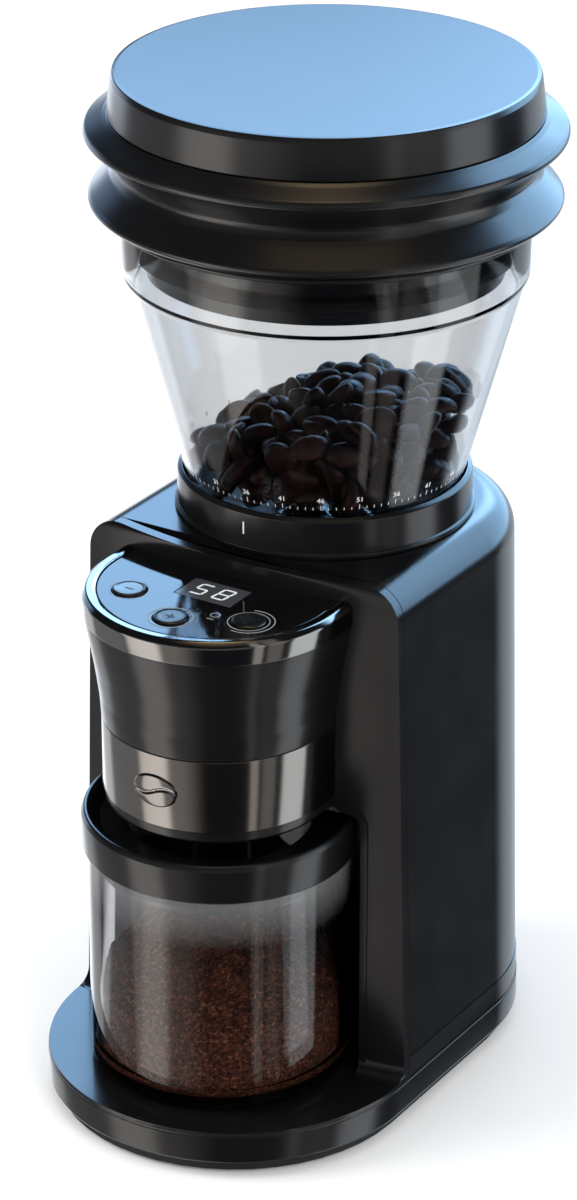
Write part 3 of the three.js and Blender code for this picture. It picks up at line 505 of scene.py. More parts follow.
def build_front_panel():
    cove = 5.5 * MM
    foot = TRAY_TOP + 0.1 * MM

    def level(z, half, forward):
        return z, [*face_line(half, forward), *reversed(face_line(half, -PANEL_DEPTH))]

    levels = []
    for i in range(11):
        angle = math.radians(9 * i)
        rise = cove * (1 - math.cos(angle))
        levels.append(level(foot + rise, half_width(foot + rise), cove * (1 - math.sin(angle))))
    levels += [level(z, half_width(z) - drawn_in, 0) for z, drawn_in in shoulder(0)]
    panel = loft("front_panel_skin", levels)
    x, y = SPOUT_AXIS.x, SPOUT_AXIS.y
    lining = jar_room("lining", 2.4 * MM, foot)
    before_face = [*face_line(0.07, -0.4 * MM), (0.07, -0.2), (-0.07, -0.2)]
    in_front = loft("in_front", [(z, before_face) for z in (0, BODY_TOP)])
    carve(lining, in_front)
    carve(panel, lining, operation="UNION")
    carve(panel, jar_room("recess", 0, 0))
    chute = box_mesh("chute_window", (-15 * MM, -0.06, 136 * MM), (15 * MM, 0.02, 160 * MM))
    spout = drum("spout_window", x, y, 24.5 * MM, RECESS_TOP - 4 * MM, 139 * MM, 64)
    carve(panel, chute, spout)
    soften(panel, 0.5 * MM)
    dress(panel, "housing", BLACK, "body_black", "front_panel")


def build_hopper_seat():
    seat = [
        (44, 193.2, 0.2), (49.4, 193.2, 0.3), (49.4, 194.6, 0.5), (48.7, 195.1, 0.2), (48.5, 205.9, 0.9),
        (47.2, 207, 0.5), (46.8, 207, 0.2), (46.6, 198.4, 0.2), (44, 198.4, 0.2),
    ]
    dress(lathe("hopper_seat_ring", seat, BURR_AXIS), "housing", BLACK, "body_black", "hopper_seat")
    radius = 48.62 * MM
    tick = ring_patch("index_mark", BURR_AXIS, lambda z: radius, -1.2, -0.6, 198.8 * MM, 203.0 * MM)
    dress(tick, "housing", INK, "body_black")


def ring_patch(name, centre, radius_at, start, end, bottom, top, steps=4, thickness=0.05 * MM):
    """A thin printed patch on a turned surface, between two angles in degrees from the front."""
    points, faces = [], []
    for i in range(steps + 1):
        angle = math.radians(start + (end - start) * i / steps)
        for z in (bottom, top):
            for depth in (0, thickness):
                r = radius_at(z) + depth
                points.append((centre.x + r * math.sin(angle), centre.y - r * math.cos(angle), z))
    for i in range(steps):
        a, b = 4 * i, 4 * i + 4
        faces += [(a, a + 1, b + 1, b), (a + 2, b + 2, b + 3, a + 3)]
        faces += [(a, b, b + 2, a + 2), (a + 1, a + 3, b + 3, b + 1)]
    last = 4 * steps
    faces += [(0, 2, 3, 1), (last, last + 1, last + 3, last + 2)]
    return mesh_of(name, points, faces)


# -------------------- control head
def head_piece(name, corners):
    """A profile swept round the front of the spout axis and straight back to the front face."""
    profile = rounded(corners)
    half = half_width(BAND["top"])
    stations = [("left", 0.0), ("left", 0.5)]
    stations += [("arc", 180 + 180 * i / 96) for i in range(97)]
    stations += [("right", 0.5), ("right", 0.0)]
    points, faces = [], []
    count = len(profile)
    for kind, value in stations:
        for r, z in profile:
            if kind == "arc":
                angle = math.radians(value)
                x, y = r * math.cos(angle), SPOUT_AXIS.y + r * math.sin(angle)
            else:
                x = -r if kind == "left" else r
                meet = front_at(x, half) - GAP
                y = meet + (SPOUT_AXIS.y - meet) * value
            points.append((x, y, z))
    for s in range(len(stations) - 1):
        a, b = s * count, (s + 1) * count
        for i in range(count):
            j = (i + 1) % count
            faces.append((a + i, b + i, b + j, a + j))
    last = (len(stations) - 1) * count
    faces += [tuple(range(count)), tuple(range(last, last + count))]
    return mesh_of(name, points, faces)


def build_head():
    shell = [
        (36.7, 117.8, 0), (36.7, 143.1, 0), (37.95, 143.1, 0.3), (38.5, 151, 12), (39.9, 161, 20),
        (43.1, 179.2, 0.3), (40.7, 179.2, 0), (36.9, 155, 3), (34.5, 143, 3), (34.5, 117.8, 0),
    ]
    dress(head_piece("head_shell_skin", shell), "housing", BLACK, "body_black", "head_shell")
    band = [(37, 117.7, 0), (37.9, 117.7, 0.25), (37.9, 142.9, 0.25), (37, 142.9, 0)]
    dress(head_piece("steel_band_skin", band), "housing", BAND_STEEL, "band_steel", "steel_band")
    bottom = [(27, 113.3, 0.3), (36.3, 113.3, 0.8), (37.3, 114.5, 0.5), (37.3, 117.5, 0.2), (27, 117.5, 0)]
    dress(head_piece("head_bottom_ring_skin", bottom), "housing", BLACK, "body_black", "head_bottom_ring")
    trim = [
        (41, 179.3, 0), (43.6, 179.3, 0.3), (43.6, 185.4, 1.6), (42.2, 187.3, 1.2), (40, 187.3, 0.7),
        (39, 186.9, 0.2), (39, 184.3, 0), (41, 184.3, 0),
    ]
    dress(head_piece("trim_ring_skin", trim), "housing", CHROME, "trim_chrome", "trim_ring")


def panel_outline(inset):
    radius = 38.8 * MM - inset
    half = half_width(BAND["top"])
    back = [(x, front_at(x, half) - GAP - inset) for x in [radius - 2 * radius * i / 24 for i in range(25)]]
    return [*arc(0, SPOUT_AXIS.y, radius, 180, 360, 96), *back]


def build_panel():
    low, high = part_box("control_panel")
    panel = loft("control_panel_skin", [(low.z, panel_outline(0)), (high.z - 0.3 * MM, panel_outline(0)),
                                        (high.z, panel_outline(0.3 * MM))])
    holes = []
    for name in ("minus", "plus", "start"):
        where = middle(f"button_{name}")
        holes.append(drum(f"hole_{name}", where.x, where.y, 5.95 * MM, low.z - MM, high.z + MM, 64))
    screen_low, screen_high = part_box("display_window")
    grow = Vector((0.2, 0.2, 1)) * MM
    holes.append(box_mesh("screen_hole", screen_low - grow, screen_high + grow))
    carve(panel, *holes)
    soften(panel, 0.15 * MM, segments=2)
    dress(panel, "housing", GLOSS, "panel_gloss", "control_panel")
    screen = box_mesh("display_window_skin", screen_low, screen_high)
    soften(screen, 0.2 * MM, segments=2)
    dress(screen, "housing", SCREEN, "display_glass", "display_window")
    build_digits(screen_low, screen_high)
    for name in ("minus", "plus", "start"):
        build_button(name)


def flat_mark(name, outlines, z, thickness=0.05 * MM):
    """Thin printed marks lying on a level surface: a list of (x, y) outlines."""
    points, faces = [], []
    for outline in outlines:
        first = len(points)
        count = len(outline)
        points += [(x, y, z) for x, y in outline] + [(x, y, z + thickness) for x, y in outline]
        faces += [tuple(range(first, first + count)), tuple(range(first + count, first + 2 * count))]
        for i in range(count):
            j = (i + 1) % count
            faces.append((first + i, first + j, first + count + j, first + count + i))
    return mesh_of(name, points, faces)


# The strokes of a seven-segment digit: the ends of each on a grid one wide and two high.
SEGMENTS = {
    "a": ((0, 2), (1, 2)), "b": ((1, 1), (1, 2)), "c": ((1, 0), (1, 1)), "d": ((0, 0), (1, 0)),
    "e": ((0, 0), (0, 1)), "f": ((0, 1), (0, 2)), "g": ((0, 1), (1, 1)),
}
DIGIT_SEGMENTS = {"5": "afgcd", "8": "abcdefg"}


def build_digits(low, high):
    width, tall, stroke, slant = 4.2 * MM, 3.6 * MM, 0.75 * MM, 0.14
    outlines = []
    for index, digit in enumerate("58"):
        origin = Vector(((low.x + high.x) / 2 + (-6.6 + 8.2 * index) * MM, (low.y + high.y) / 2 - tall, 0))
        for key in DIGIT_SEGMENTS[digit]:
            (ax, ay), (bx, by) = SEGMENTS[key]
            a = origin + Vector((ax * width, ay * tall, 0))
            b = origin + Vector((bx * width, by * tall, 0))
            along = (b - a).normalized()
            across = Vector((-along.y, along.x, 0)) * stroke / 2
            a, b = a + along * stroke * 0.55, b - along * stroke * 0.55
            tip = along * stroke / 2
            ring = [a - tip, a + across, b + across, b + tip, b - across, a - across]
            outlines.append([(p.x + (p.y - origin.y) * slant, p.y) for p in ring])
    digits = flat_mark("display_digits", outlines, high.z + 0.02 * MM)
    dress(digits, "housing", DIGITS, "display_glass")


def build_button(name):
    node = f"button_{name}"
    where = middle(node)
    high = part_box(node)[1].z / MM
    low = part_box(node)[0].z / MM
    cap = [
        (0, low, 0), (2, low, 0.1), (2, high - 3.3, 0.2), (5.6, high - 3.1, 0.2), (5.6, high - 0.35, 0.3),
        (4.9, high, 0.3), (4.3, high - 0.25, 0.3), (0, high - 0.45, 0),
    ]
    dress(lathe(f"{node}_cap", cap, where, FINE, closed=False), name, BUTTON_METAL, "button_metal", node)
    top = (high - 0.42) * MM
    bar = 0.45 * MM
    if name == "minus":
        outlines = [[(-2.4 * MM, -bar), (2.4 * MM, -bar), (2.4 * MM, bar), (-2.4 * MM, bar)]]
    elif name == "plus":
        reach = 2.4 * MM
        outlines = [[(-reach, -bar), (-bar, -bar), (-bar, -reach), (bar, -reach), (bar, -bar), (reach, -bar),
                     (reach, bar), (bar, bar), (bar, reach), (-bar, reach), (-bar, bar), (-reach, bar)]]
    else:
        stem = [(-bar, 0.8 * MM), (bar, 0.8 * MM), (bar, 3.2 * MM), (-bar, 3.2 * MM)]
        outlines = [ring_outline(2.5 * MM, 0.7 * MM, 120, 420), stem]
    moved = [[(x + where.x, y + where.y) for x, y in outline] for outline in outlines]
    dress(flat_mark(f"{node}_sign", moved, top), name, INNER_BLACK, "button_metal")
    rings = {
        "minus": [ring_outline(6.5 * MM, 0.15 * MM, 20, 340)],
        "plus": [ring_outline(7.3 * MM, 0.35 * MM, 0, 359)],
        "start": [ring_outline(6.7 * MM, 0.3 * MM, 0, 359), ring_outline(8.3 * MM, 0.35 * MM, -100, 110)],
    }[name]
    around = [[(x + where.x, y + where.y) for x, y in outline] for outline in rings]
    if name == "start":
        small = Vector((where.x - 11.5 * MM, where.y - 1.5 * MM))
        around += [[(x + small.x, y + small.y) for x, y in ring_outline(1.5 * MM, 0.3 * MM, 0, 359)]]
        around += [[(small.x - 1.2 * MM, small.y - 3.4 * MM), (small.x + 1.2 * MM, small.y - 3.4 * MM),
                    (small.x + 1.2 * MM, small.y - 3 * MM), (small.x - 1.2 * MM, small.y - 3 * MM)]]
    dress(flat_mark(f"{node}_ring_print", around, PANEL_TOP + 0.02 * MM), "housing", PANEL_INK, "panel_gloss")


def ring_outline(radius, stroke, start, end, steps=40):
    inner = arc(0, 0, radius - stroke / 2, start, end, steps)
    outer = arc(0, 0, radius + stroke / 2, start, end, steps)
    return [*inner, *reversed(outer)]


def build_badge():
    """A bean-shaped relief wrapped on the band: a low dome with a curved crease."""
    low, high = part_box("band_badge")
    middle_z = (low.z + high.z) / 2
    wide, tall, rise = (high.x - low.x) / 2, (high.z - low.z) / 2, 0.85 * MM
    rings, around = 14, 72
    points, faces = [], []
    for k in range(rings + 1):
        t = k / rings
        for i in range(around):
            angle = 2 * math.pi * i / around
            u, v = wide * t * math.cos(angle), tall * t * math.sin(angle)
            off_crease = (v - 1.3 * MM * math.sin(u / wide * math.pi)) / (0.62 * MM)
            crease = math.exp(-(off_crease ** 2)) * (1 - t ** 6)
            height = rise * (math.sqrt(max(0, 1 - t ** 3)) - 0.72 * crease) + 0.12 * MM
            r = BAND["radius"] + (height if k < rings else -0.1 * MM)
            turn = u / BAND["radius"]
            x, y = SPOUT_AXIS.x + r * math.sin(turn), SPOUT_AXIS.y - r * math.cos(turn)
            points.append((x, y, middle_z + v))
    for k in range(rings):
        for i in range(around):
            j = (i + 1) % around
            faces.append((k * around + i, k * around + j, (k + 1) * around + j, (k + 1) * around + i))
    faces.append(tuple(range(rings * around, (rings + 1) * around)))
    dress(mesh_of("band_badge_relief", points, faces, 60), "housing", BAND_STEEL, "trim_chrome", "band_badge")


# -------------------- grounds jar
JAR_IN = 41.1


def build_jar():
    foot = JAR_FOOT / MM
    jar = [
        (0, foot + 0.8, 0), (34.3, foot + 0.8, 0.4), (35.3, foot, 0.4), (38.3, foot, 0.6),
        (43.3, foot + 1.2, 5.5), (43.3, 97.9, 0.4), (42.7, 100.9, 0.3), (JAR_IN, 100.9, 0.3),
        (JAR_IN, foot + 4, 6.5), (0, foot + 3.4, 0),
    ]
    dress(lathe("jar_wall", jar, SPOUT_AXIS, closed=False), "jar", JAR_CLEAR, "clear_plastic", "jar")
    collar = [
        (43.5, 95.9, 0.2), (45, 95.9, 0.5), (45.2, 107.4, 0.3), (44.4, 109.2, 1.0), (43.2, 109.2, 0.6),
        (39, 104.6, 3), (30, 103.8, 0.3), (30, 102, 0.3), (38.2, 101.6, 0.4), (38.2, 89.9, 0.3),
        (40.2, 89.9, 0.3), (40.2, 101.3, 0.2), (43.5, 101.3, 0.2),
    ]
    dress(lathe("jar_collar_skin", collar, SPOUT_AXIS), "jar", BLACK, "body_black", "jar_collar")
    gasket = [(40.35, 91.9, 0.2), (40.95, 91.9, 0.25), (40.95, 94.4, 0.25), (40.35, 94.4, 0.2)]
    dress(lathe("jar_gasket_ring", gasket, SPOUT_AXIS), "jar", RUBBER, "foot_rubber", "jar_gasket")


def grounds_material():
    material, surface = shader("ground_coffee", Roughness=0.85, Specular_IOR_Level=0.25)
    grain = add_node(material, "ShaderNodeTexVoronoi")
    grain.inputs["Scale"].default_value = 1250
    link(material, place(material), grain.inputs["Vector"])
    browns = [(0.1, (0.03, 0.009, 0.0045)), (0.45, (0.095, 0.026, 0.012)), (0.75, (0.19, 0.056, 0.026)),
              (0.95, (0.4, 0.15, 0.08))]
    colors = shades(material, grain.outputs["Color"], *browns)
    link(material, colors, surface.inputs["Base Color"])
    bump(material, surface, grain.outputs["Distance"], 0.9, 0.0006)
    return material


def mound_height(x, y):
    """Height of the ground coffee above the jar's floor, at a place measured from the jar's axis."""
    r = math.hypot(x, y) / (JAR_IN * MM)
    peak = 47.5 * MM * max(0, 1 - 0.44 * r ** 1.25)
    lumps = 5.5 * MM * noise.noise(Vector((x, y, 0.3)) * 62)
    lumps += 2.2 * MM * noise.noise(Vector((x, y, 1.7)) * 190)
    return peak + lumps * (1 - 0.35 * r) + 0.5 * MM * noise.noise(Vector((x, y, 4.1)) * 900)


def build_grounds():
    floor = JAR_FOOT + 3.6 * MM
    outer = (JAR_IN - 0.35) * MM
    rings, around = 70, 220
    points, faces = [], []

    def at(r, i, z):
        angle = 2 * math.pi * i / around
        return (SPOUT_AXIS.x + r * math.sin(angle), SPOUT_AXIS.y - r * math.cos(angle), z)

    for k in range(1, rings + 1):
        r = outer * k / rings
        for i in range(around):
            x, y, _ = at(r, i, 0)
            points.append(at(r, i, floor + mound_height(x - SPOUT_AXIS.x, y - SPOUT_AXIS.y)))
    wall_steps = 26
    for k in range(1, wall_steps + 1):
        t = k / wall_steps
        for i in range(around):
            x, y, top = points[(rings - 1) * around + i]
            z = top + (floor + 5 * MM - top) * t
            grit = 0.25 * MM * noise.noise(Vector((x, y, z)) * 800)
            points.append(at(outer - 0.15 * MM + grit, i, z))
    for k in range(1, 7):
        angle = math.radians(90 * k / 6)
        r = outer - 6 * MM + 5.8 * MM * math.cos(angle)
        points += [at(r, i, floor + 5 * MM - 5 * MM * math.sin(angle)) for i in range(around)]
    loops = rings + wall_steps + 6
    for k in range(loops - 1):
        for i in range(around):
            j = (i + 1) % around
            faces.append((k * around + i, k * around + j, (k + 1) * around + j, (k + 1) * around + i))
    top = len(points)
    points.append((SPOUT_AXIS.x, SPOUT_AXIS.y, floor + mound_height(0, 0)))
    faces += [(top, (i + 1) % around, i) for i in range(around)]
    faces.append(tuple(range((loops - 1) * around, loops * around)))
    dress(mesh_of("coffee_grounds", points, faces, 180), "jar", grounds_material(), "body_black")


# -------------------- hopper
HOPPER_IN = [(199, 43.6), (207, 43.9), (273.7, 62.2), (294.2, 63.8)]


def hopper_inner(z):
    """The hopper's inner radius at a height, in metres."""
    z = z / MM
    for (z0, r0), (z1, r1) in zip(HOPPER_IN, HOPPER_IN[1:]):
        if z <= z1:
            return (r0 + (r1 - r0) * (z - z0) / (z1 - z0)) * MM
    return HOPPER_IN[-1][1] * MM


def build_hopper():
    hopper = [
        (43.6, 199, 0.2), (46, 199, 0.3), (46.3, 207, 2), (64.6, 273.5, 0.8), (65.8, 275.3, 0.8),
        (66.2, 294.2, 0.5), (63.8, 294.2, 0.5), (63.4, 275.9, 0.8), (62.2, 274.1, 0.8), (43.9, 207, 2),
    ]
    dress(lathe("hopper_wall", hopper, BURR_AXIS), "hopper", CLEAR, "clear_plastic", "hopper")
    funnel = [
        (17, 180, 0.2), (19, 180, 0.2), (19, 187, 1), (37, 194.5, 1), (43.3, 196.5, 0.3),
        (43.3, 205, 0.3), (41.6, 205, 0.3), (36, 199.5, 1), (17, 189, 1),
    ]
    funnel_skin = lathe("hopper_funnel_skin", funnel, BURR_AXIS)
    dress(funnel_skin, "hopper", INNER_BLACK, "body_black", "hopper_funnel")
    build_scale()


def build_scale():
    """Grind settings printed round the foot of the hopper: ticks and numbers."""
    def outer(z):
        return hopper_inner(z) + 2.42 * MM

    step, count = 3, 70
    first = -step * count / 2
    marks = []
    for i in range(count + 1):
        angle = first + step * i
        top = 211.5 * MM if i % 5 == 0 else 210.7 * MM
        marks.append(ring_patch("tick", BURR_AXIS, outer, angle - 0.12, angle + 0.12, 209.7 * MM, top, 1))
    for i in range(0, count + 1, 5):
        marks.append(curved_text(str(i + 1), first + step * i, 212.6 * MM, outer))
    dress(joined("grind_scale_print", marks), "hopper", INK, "clear_plastic")


def curved_text(text, angle, bottom, radius_at, size=2.5):
    """A number wrapped round the hopper's outside."""
    curve = bpy.data.curves.new("number", "FONT")
    curve.body = text
    curve.size = size * MM
    curve.align_x = "CENTER"
    curve.extrude = 0.04 * MM
    source = bpy.data.objects.new("number", curve)
    bpy.context.scene.collection.objects.link(source)
    bpy.context.view_layer.update()
    mesh = bpy.data.meshes.new_from_object(source.evaluated_get(bpy.context.evaluated_depsgraph_get()))
    bpy.data.objects.remove(source)
    for vertex in mesh.vertices:
        z = bottom + vertex.co.y
        r = radius_at(z) + 0.06 * MM + vertex.co.z
        turn = math.radians(angle) + vertex.co.x / radius_at(z)
        vertex.co = (BURR_AXIS.x + r * math.sin(turn), BURR_AXIS.y - r * math.cos(turn), z)
    return finish_mesh(f"number_{text}", mesh)


def joined(name, objects):
    work = bmesh.new()
    for o in objects:
        work.from_mesh(o.data)
        bpy.data.objects.remove(o)
    mesh = bpy.data.meshes.new(name)
    work.to_mesh(mesh)
    work.free()
    return finish_mesh(name, mesh)


# -------------------- coffee beans
def bean_material():
    material, surface = shader("roasted_bean", Coat_Weight=0.12, Coat_Roughness=0.3, Specular_IOR_Level=0.3)
    drift = noise_at(material, 130, 2.0)
    mottle = noise_at(material, 420, 3.0)
    browns = shades(material, drift, (0.35, (0.014, 0.0055, 0.005)), (0.65, (0.05, 0.014, 0.009)))
    link(material, browns, surface.inputs["Base Color"])
    link(material, spread(material, mottle, 0.32, 0.55), surface.inputs["Roughness"])
    bump(material, surface, mottle, 0.2, 0.0003)
    return material


def bean_points(rings=14, around=22):
    """A unit coffee bean: a flattened dome with a creased flat side."""
    points = []
    for k in range(1, rings):
        v = math.pi * k / rings
        for i in range(around):
            u = 2 * math.pi * i / around
            x, y, z = math.cos(v), math.sin(v) * math.cos(u), math.sin(v) * math.sin(u)
            y *= 0.72
            z *= 0.62 if z > 0 else 0.3
            if z < 0:
                crease = math.exp(-((y - 0.07 * math.sin(2.4 * x)) / 0.1) ** 2)
                z += 0.2 * crease * (1 - x * x)
            points.append(Vector((x, y, z)))
    return [Vector((1, 0, 0)), *points, Vector((-1, 0, 0))], rings, around


def bean_faces(rings, around):
    faces = []
    for i in range(around):
        j = (i + 1) % around
        faces.append((0, 1 + j, 1 + i))
        for k in range(rings - 2):
            a, b = 1 + k * around, 1 + (k + 1) * around
            faces.append((a + i, a + j, b + j, b + i))
        last = 1 + (rings - 2) * around
        faces.append((last + i, last + j, 1 + (rings - 1) * around))
    return faces


def heap_top(x, y):
    """Height of the heap of beans at a place measured from the hopper's axis, in metres."""
    ripple = 5 * MM * math.cos(38 * x - 0.3) * math.cos(33 * y)
    return 230 * MM + 0.2 * x + ripple - 0.12 * math.hypot(x, y)


def build_beans():
    rng = random.Random(7)
    unit, rings, around = bean_points()
    faces_of_one = bean_faces(rings, around)
    length = 6.3 * MM
    spacing = 7.9 * MM
    centres = []
    for _ in range(60000):
        z = rng.uniform(209 * MM, 246 * MM)
        reach = hopper_inner(z) - 5.4 * MM
        r = reach * math.sqrt(rng.random())
        turn = rng.uniform(0, 2 * math.pi)
        x, y = r * math.cos(turn), r * math.sin(turn)
        if z > heap_top(x, y):
            continue
        spot = Vector((x, y, z))
        if all((spot - other).length > spacing for other in centres):
            centres.append(spot)
    points, faces = [], []
    for spot in centres:
        size = length * rng.uniform(0.86, 1.12)
        turn = Matrix.Rotation(rng.uniform(0, 2 * math.pi), 3, "Z")
        turn = turn @ Matrix.Rotation(rng.gauss(0, 0.6), 3, "Y")
        turn = turn @ Matrix.Rotation(rng.choice((0, math.pi)) + rng.gauss(0, 0.5), 3, "X")
        first = len(points)
        for p in unit:
            q = spot + turn @ (p * size)
            limit = hopper_inner(q.z) - 0.3 * MM
            flat = math.hypot(q.x, q.y)
            if flat > limit:
                q.x, q.y = q.x * limit / flat, q.y * limit / flat
            q.z = max(q.z, 205.3 * MM)
            points.append((q.x + BURR_AXIS.x, q.y + BURR_AXIS.y, q.z))
        faces += [tuple(first + i for i in face) for face in faces_of_one]
    dress(mesh_of("coffee_beans", points, faces, 60), "hopper", bean_material(), "body_black")


# -------------------- lid
def build_lid():
    ring = [
        (57.8, 278, 0.3), (60.2, 278, 0.4), (60.2, 294.5, 0.3), (69.2, 294.6, 0.5), (70.6, 295.6, 0.7),
        (69.8, 297, 0.5), (66, 298, 0.3), (60, 298, 0.5), (58, 290, 0.5), (7, 290, 0.4), (7, 287.6, 0.4),
        (57.8, 287.6, 0.5),
    ]
    dress(lathe("lid_ring_skin", ring, BURR_AXIS), "lid", LID_BLACK, "body_black", "lid_ring")
    gasket = [(60.3, 283, 0.1), (61.9, 283, 0.3), (63.2, 284.6, 0.4), (61.9, 286.2, 0.3), (60.3, 286.2, 0.1)]
    dress(lathe("lid_gasket_ring", gasket, BURR_AXIS), "lid", RUBBER, "foot_rubber", "lid_gasket")
    folds = [
        (66.2, 298.2, 0.2), (70.8, 298.3, 0.8), (75.2, 298.9, 1.2), (76.4, 300.4, 1.3), (75.2, 302, 1.4),
        (69.2, 308.6, 4), (67.6, 312, 2.5), (69.4, 314.6, 2.5), (75.2, 319.8, 2.5), (77.7, 321.9, 1.5),
        (76.8, 324, 1.5), (71.2, 326.9, 1), (70, 327.8, 0.2), (66, 327.8, 0.2), (66.4, 326.2, 0.8),
        (74.4, 322.2, 1), (65.4, 313, 3), (65.4, 309.4, 3), (73.2, 301, 1), (66.2, 299.8, 0.5),
    ]
    bellows = lathe("bellows_skin", folds, BURR_AXIS, crease=50)
    dress(bellows, "lid_cap", SILICONE, "bellows_rubber", "bellows")
    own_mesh(bellows)
    cap = [
        (0, 338.5, 0), (65, 338.5, 0.5), (66.4, 328, 0.3), (69.8, 328, 0.5), (68.4, 339.6, 0.5),
        (67.8, 341.3, 0.5), (66.6, 341.5, 0.4), (0, 341.3, 0),
    ]
    dress(lathe("lid_cap_skin", cap, BURR_AXIS, closed=False), "lid_cap", LID_BLACK, "lid_black", "lid_cap")


build_base()
build_body()
build_front_panel()
build_hopper_seat()
build_head()
build_panel()
build_badge()
build_jar()
build_grounds()
build_hopper()
build_beans()
build_lid()


# -------------------- studio
def build_floor():
    mesh = bpy.data.meshes.new("floor")
    mesh.from_pydata([(-6, -6, 0), (6, -6, 0), (6, 6, 0), (-6, 6, 0)], [], [(0, 1, 2, 3)])
    floor = bpy.data.objects.new("floor", mesh)
    bpy.context.scene.collection.objects.link(floor)
    material, surface = shader("floor_paper", Roughness=0.6, Specular_IOR_Level=0.2)
    tone = noise_at(material, 3, 2.0)
    whites = shades(material, tone, (0.3, (0.93, 0.93, 0.93)), (0.7, (0.95, 0.95, 0.95)))
    link(material, whites, surface.inputs["Base Color"])
    mesh.materials.append(material)
    floor.visible_glossy = False
    floor.visible_transmission = False


def soft_light(name, place_at, target, size, power, color):
    data = bpy.data.lights.new(name, "AREA")
    data.shape = "RECTANGLE"
    data.size, data.size_y = size
    data.energy = power
    data.color = color
    lamp = bpy.data.objects.new(name, data)
    bpy.context.scene.collection.objects.link(lamp)
    lamp.location = place_at
    lamp.rotation_euler = (Vector(target) - Vector(place_at)).to_track_quat("-Z", "Y").to_euler()
    lamp.visible_glossy = False
    lamp.visible_transmission = False


# Soft boxes around the grinder, as reflections see them. Azimuths run in degrees from the front (-Y) towards
# +X: the middle, the half width and the fade of each side. Then come the lowest and the highest elevation and
# their fade, and the strength.
SOFT_BOXES = [
    {"azimuth": (-34, 12, 8), "elevation": (-75, -4, 14), "color": (1.0, 0.95, 0.9), "strength": 1.2},
    {"azimuth": (-18, 12, 28), "elevation": (-75, -4, 14), "color": (1.0, 0.93, 0.86), "strength": 0.32},
    {"azimuth": (-78, 20, 10), "elevation": (-75, -6, 10), "color": (0.97, 0.98, 1.0), "strength": 0.28},
    {"azimuth": (-125, 20, 12), "elevation": (-70, -6, 10), "color": (0.97, 0.98, 1.0), "strength": 0.95},
    {"azimuth": (67, 3, 2), "elevation": (-70, 40, 15), "color": (1.0, 0.95, 0.9), "strength": 0.55},
    {"azimuth": (82, 5, 4), "elevation": (-70, 40, 15), "color": (1.0, 0.94, 0.88), "strength": 0.25},
    {"azimuth": (111, 12, 4), "elevation": (-70, 10, 15), "color": (0.93, 0.97, 1.0), "strength": 1.25},
    {"azimuth": (198, 34, 12), "elevation": (-60, -8, 10), "color": (0.8, 0.9, 1.0), "strength": 0.9},
    {"azimuth": (244, 14, 12), "elevation": (-12, 12, 6), "color": (0.42, 0.64, 1.0), "strength": 0.8},
    {"azimuth": (30, 60, 30), "elevation": (-8, 20, 8), "color": (0.97, 0.98, 1.0), "strength": 0.12},
    {"azimuth": (172, 26, 14), "elevation": (-1, 50, 7), "color": (0.37, 0.66, 1.0), "strength": 4.4},
    {"azimuth": (208, 16, 10), "elevation": (20, 60, 7), "color": (0.37, 0.66, 1.05), "strength": 4.9},
    {"azimuth": (180, 180, 1), "elevation": (81, 100, 6), "color": (1.0, 0.74, 0.42), "strength": 1.2},
    {"azimuth": (38, 34, 30), "elevation": (54, 84, 10), "color": (1.0, 0.74, 0.42), "strength": 0.25},
]


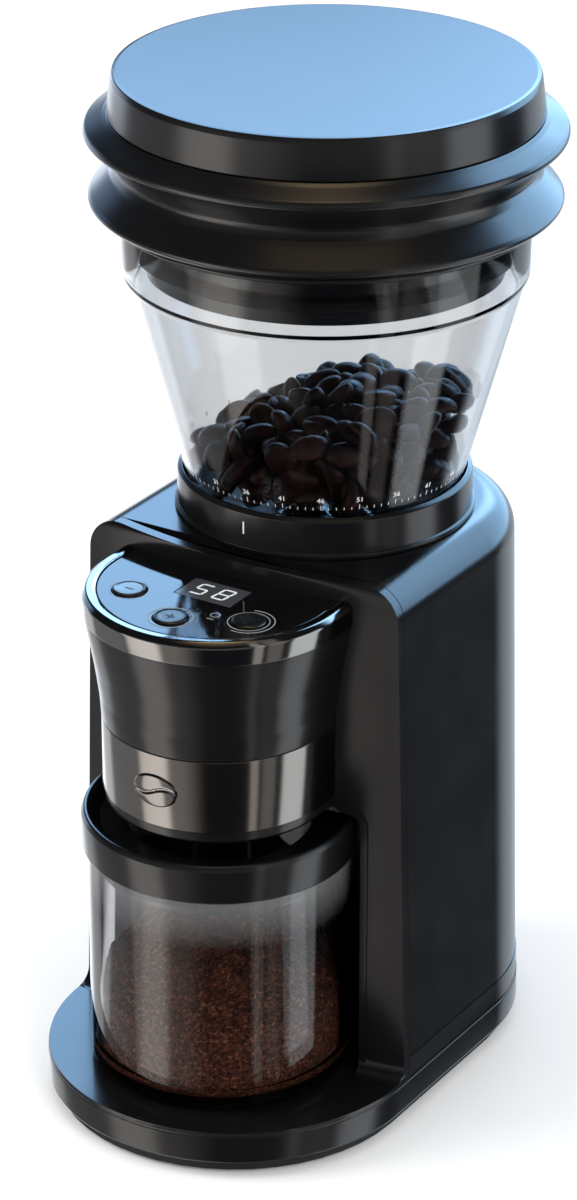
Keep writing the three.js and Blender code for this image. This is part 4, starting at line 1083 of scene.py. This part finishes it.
def build_world():
    """White to the eye and to matt surfaces; in reflections dark with soft boxes, so black stays black."""
    world = bpy.data.worlds.new("studio")
    bpy.context.scene.world = world
    world.use_nodes = True
    world.cycles.sampling_method = "NONE"
    nodes, links = world.node_tree.nodes, world.node_tree.links
    nodes.clear()

    def math_node(operation, *values):
        node = nodes.new("ShaderNodeMath")
        node.operation = operation
        for socket, value in zip(node.inputs, values):
            if isinstance(value, (int, float)):
                socket.default_value = value
            else:
                links.new(value, socket)
        return node.outputs[0]

    def fade(value, start, end):
        ranged = nodes.new("ShaderNodeMapRange")
        ranged.interpolation_type = "SMOOTHSTEP"
        ranged.inputs["From Min"].default_value = start
        ranged.inputs["From Max"].default_value = end
        links.new(value, ranged.inputs["Value"])
        return ranged.outputs["Result"]

    def background(color, strength):
        node = nodes.new("ShaderNodeBackground")
        node.inputs["Color"].default_value = (*color, 1)
        if isinstance(strength, (int, float)):
            node.inputs["Strength"].default_value = strength
        else:
            links.new(strength, node.inputs["Strength"])
        return node.outputs["Background"]

    direction = nodes.new("ShaderNodeSeparateXYZ")
    links.new(nodes.new("ShaderNodeTexCoord").outputs["Generated"], direction.inputs["Vector"])
    x, y, z = direction.outputs
    azimuth = math_node("ARCTAN2", x, math_node("MULTIPLY", y, -1))
    elevation = math_node("ARCSINE", z)
    reflected = background((0.8, 0.85, 1.0), 0.02)
    for box in SOFT_BOXES:
        centre, half, side_fade = map(math.radians, box["azimuth"])
        low, high, end_fade = map(math.radians, box["elevation"])
        turned = math_node("WRAP", math_node("SUBTRACT", azimuth, centre), math.pi, -math.pi)
        away = math_node("ABSOLUTE", turned)
        across = fade(away, half + side_fade, half)
        above = fade(elevation, low - end_fade, low)
        below = fade(elevation, high + end_fade, high)
        upright = math_node("MULTIPLY", above, below)
        lit = math_node("MULTIPLY", math_node("MULTIPLY", across, upright), box["strength"])
        added = nodes.new("ShaderNodeAddShader")
        links.new(reflected, added.inputs[0])
        links.new(background(box["color"], lit), added.inputs[1])
        reflected = added.outputs["Shader"]
    rays = nodes.new("ShaderNodeLightPath")
    mix = nodes.new("ShaderNodeMixShader")
    links.new(math_node("GREATER_THAN", rays.outputs["Glossy Depth"], 0.5), mix.inputs["Fac"])
    links.new(background((1, 1, 1), 1.0), mix.inputs[1])
    links.new(reflected, mix.inputs[2])
    links.new(mix.outputs["Shader"], nodes.new("ShaderNodeOutputWorld").inputs["Surface"])


def build_camera():
    data = bpy.data.cameras.new("camera")
    data.sensor_width = 36
    data.lens = 131.2
    camera = bpy.data.objects.new("camera", data)
    bpy.context.scene.collection.objects.link(camera)
    yaw, pitch = math.radians(32.04), math.radians(25.05)
    forward = Vector((-math.sin(yaw) * math.cos(pitch), math.cos(yaw) * math.cos(pitch), -math.sin(pitch)))
    camera.location = Vector((690.0, -1104.6, 773.1)) * MM
    camera.rotation_euler = forward.to_track_quat("-Z", "Y").to_euler()
    bpy.context.scene.camera = camera


build_floor()
build_world()
build_camera()
soft_light("key_left", (-1.3, -0.9, 1.2), (0, 0, 0.18), (0.9, 1.4), 20, (1.0, 0.98, 0.96))
soft_light("fill_right", (1.5, -0.9, 1.0), (0, 0, 0.18), (0.9, 1.2), 16, (0.98, 0.99, 1.0))
bpy.context.scene.view_settings.view_transform = "Standard"
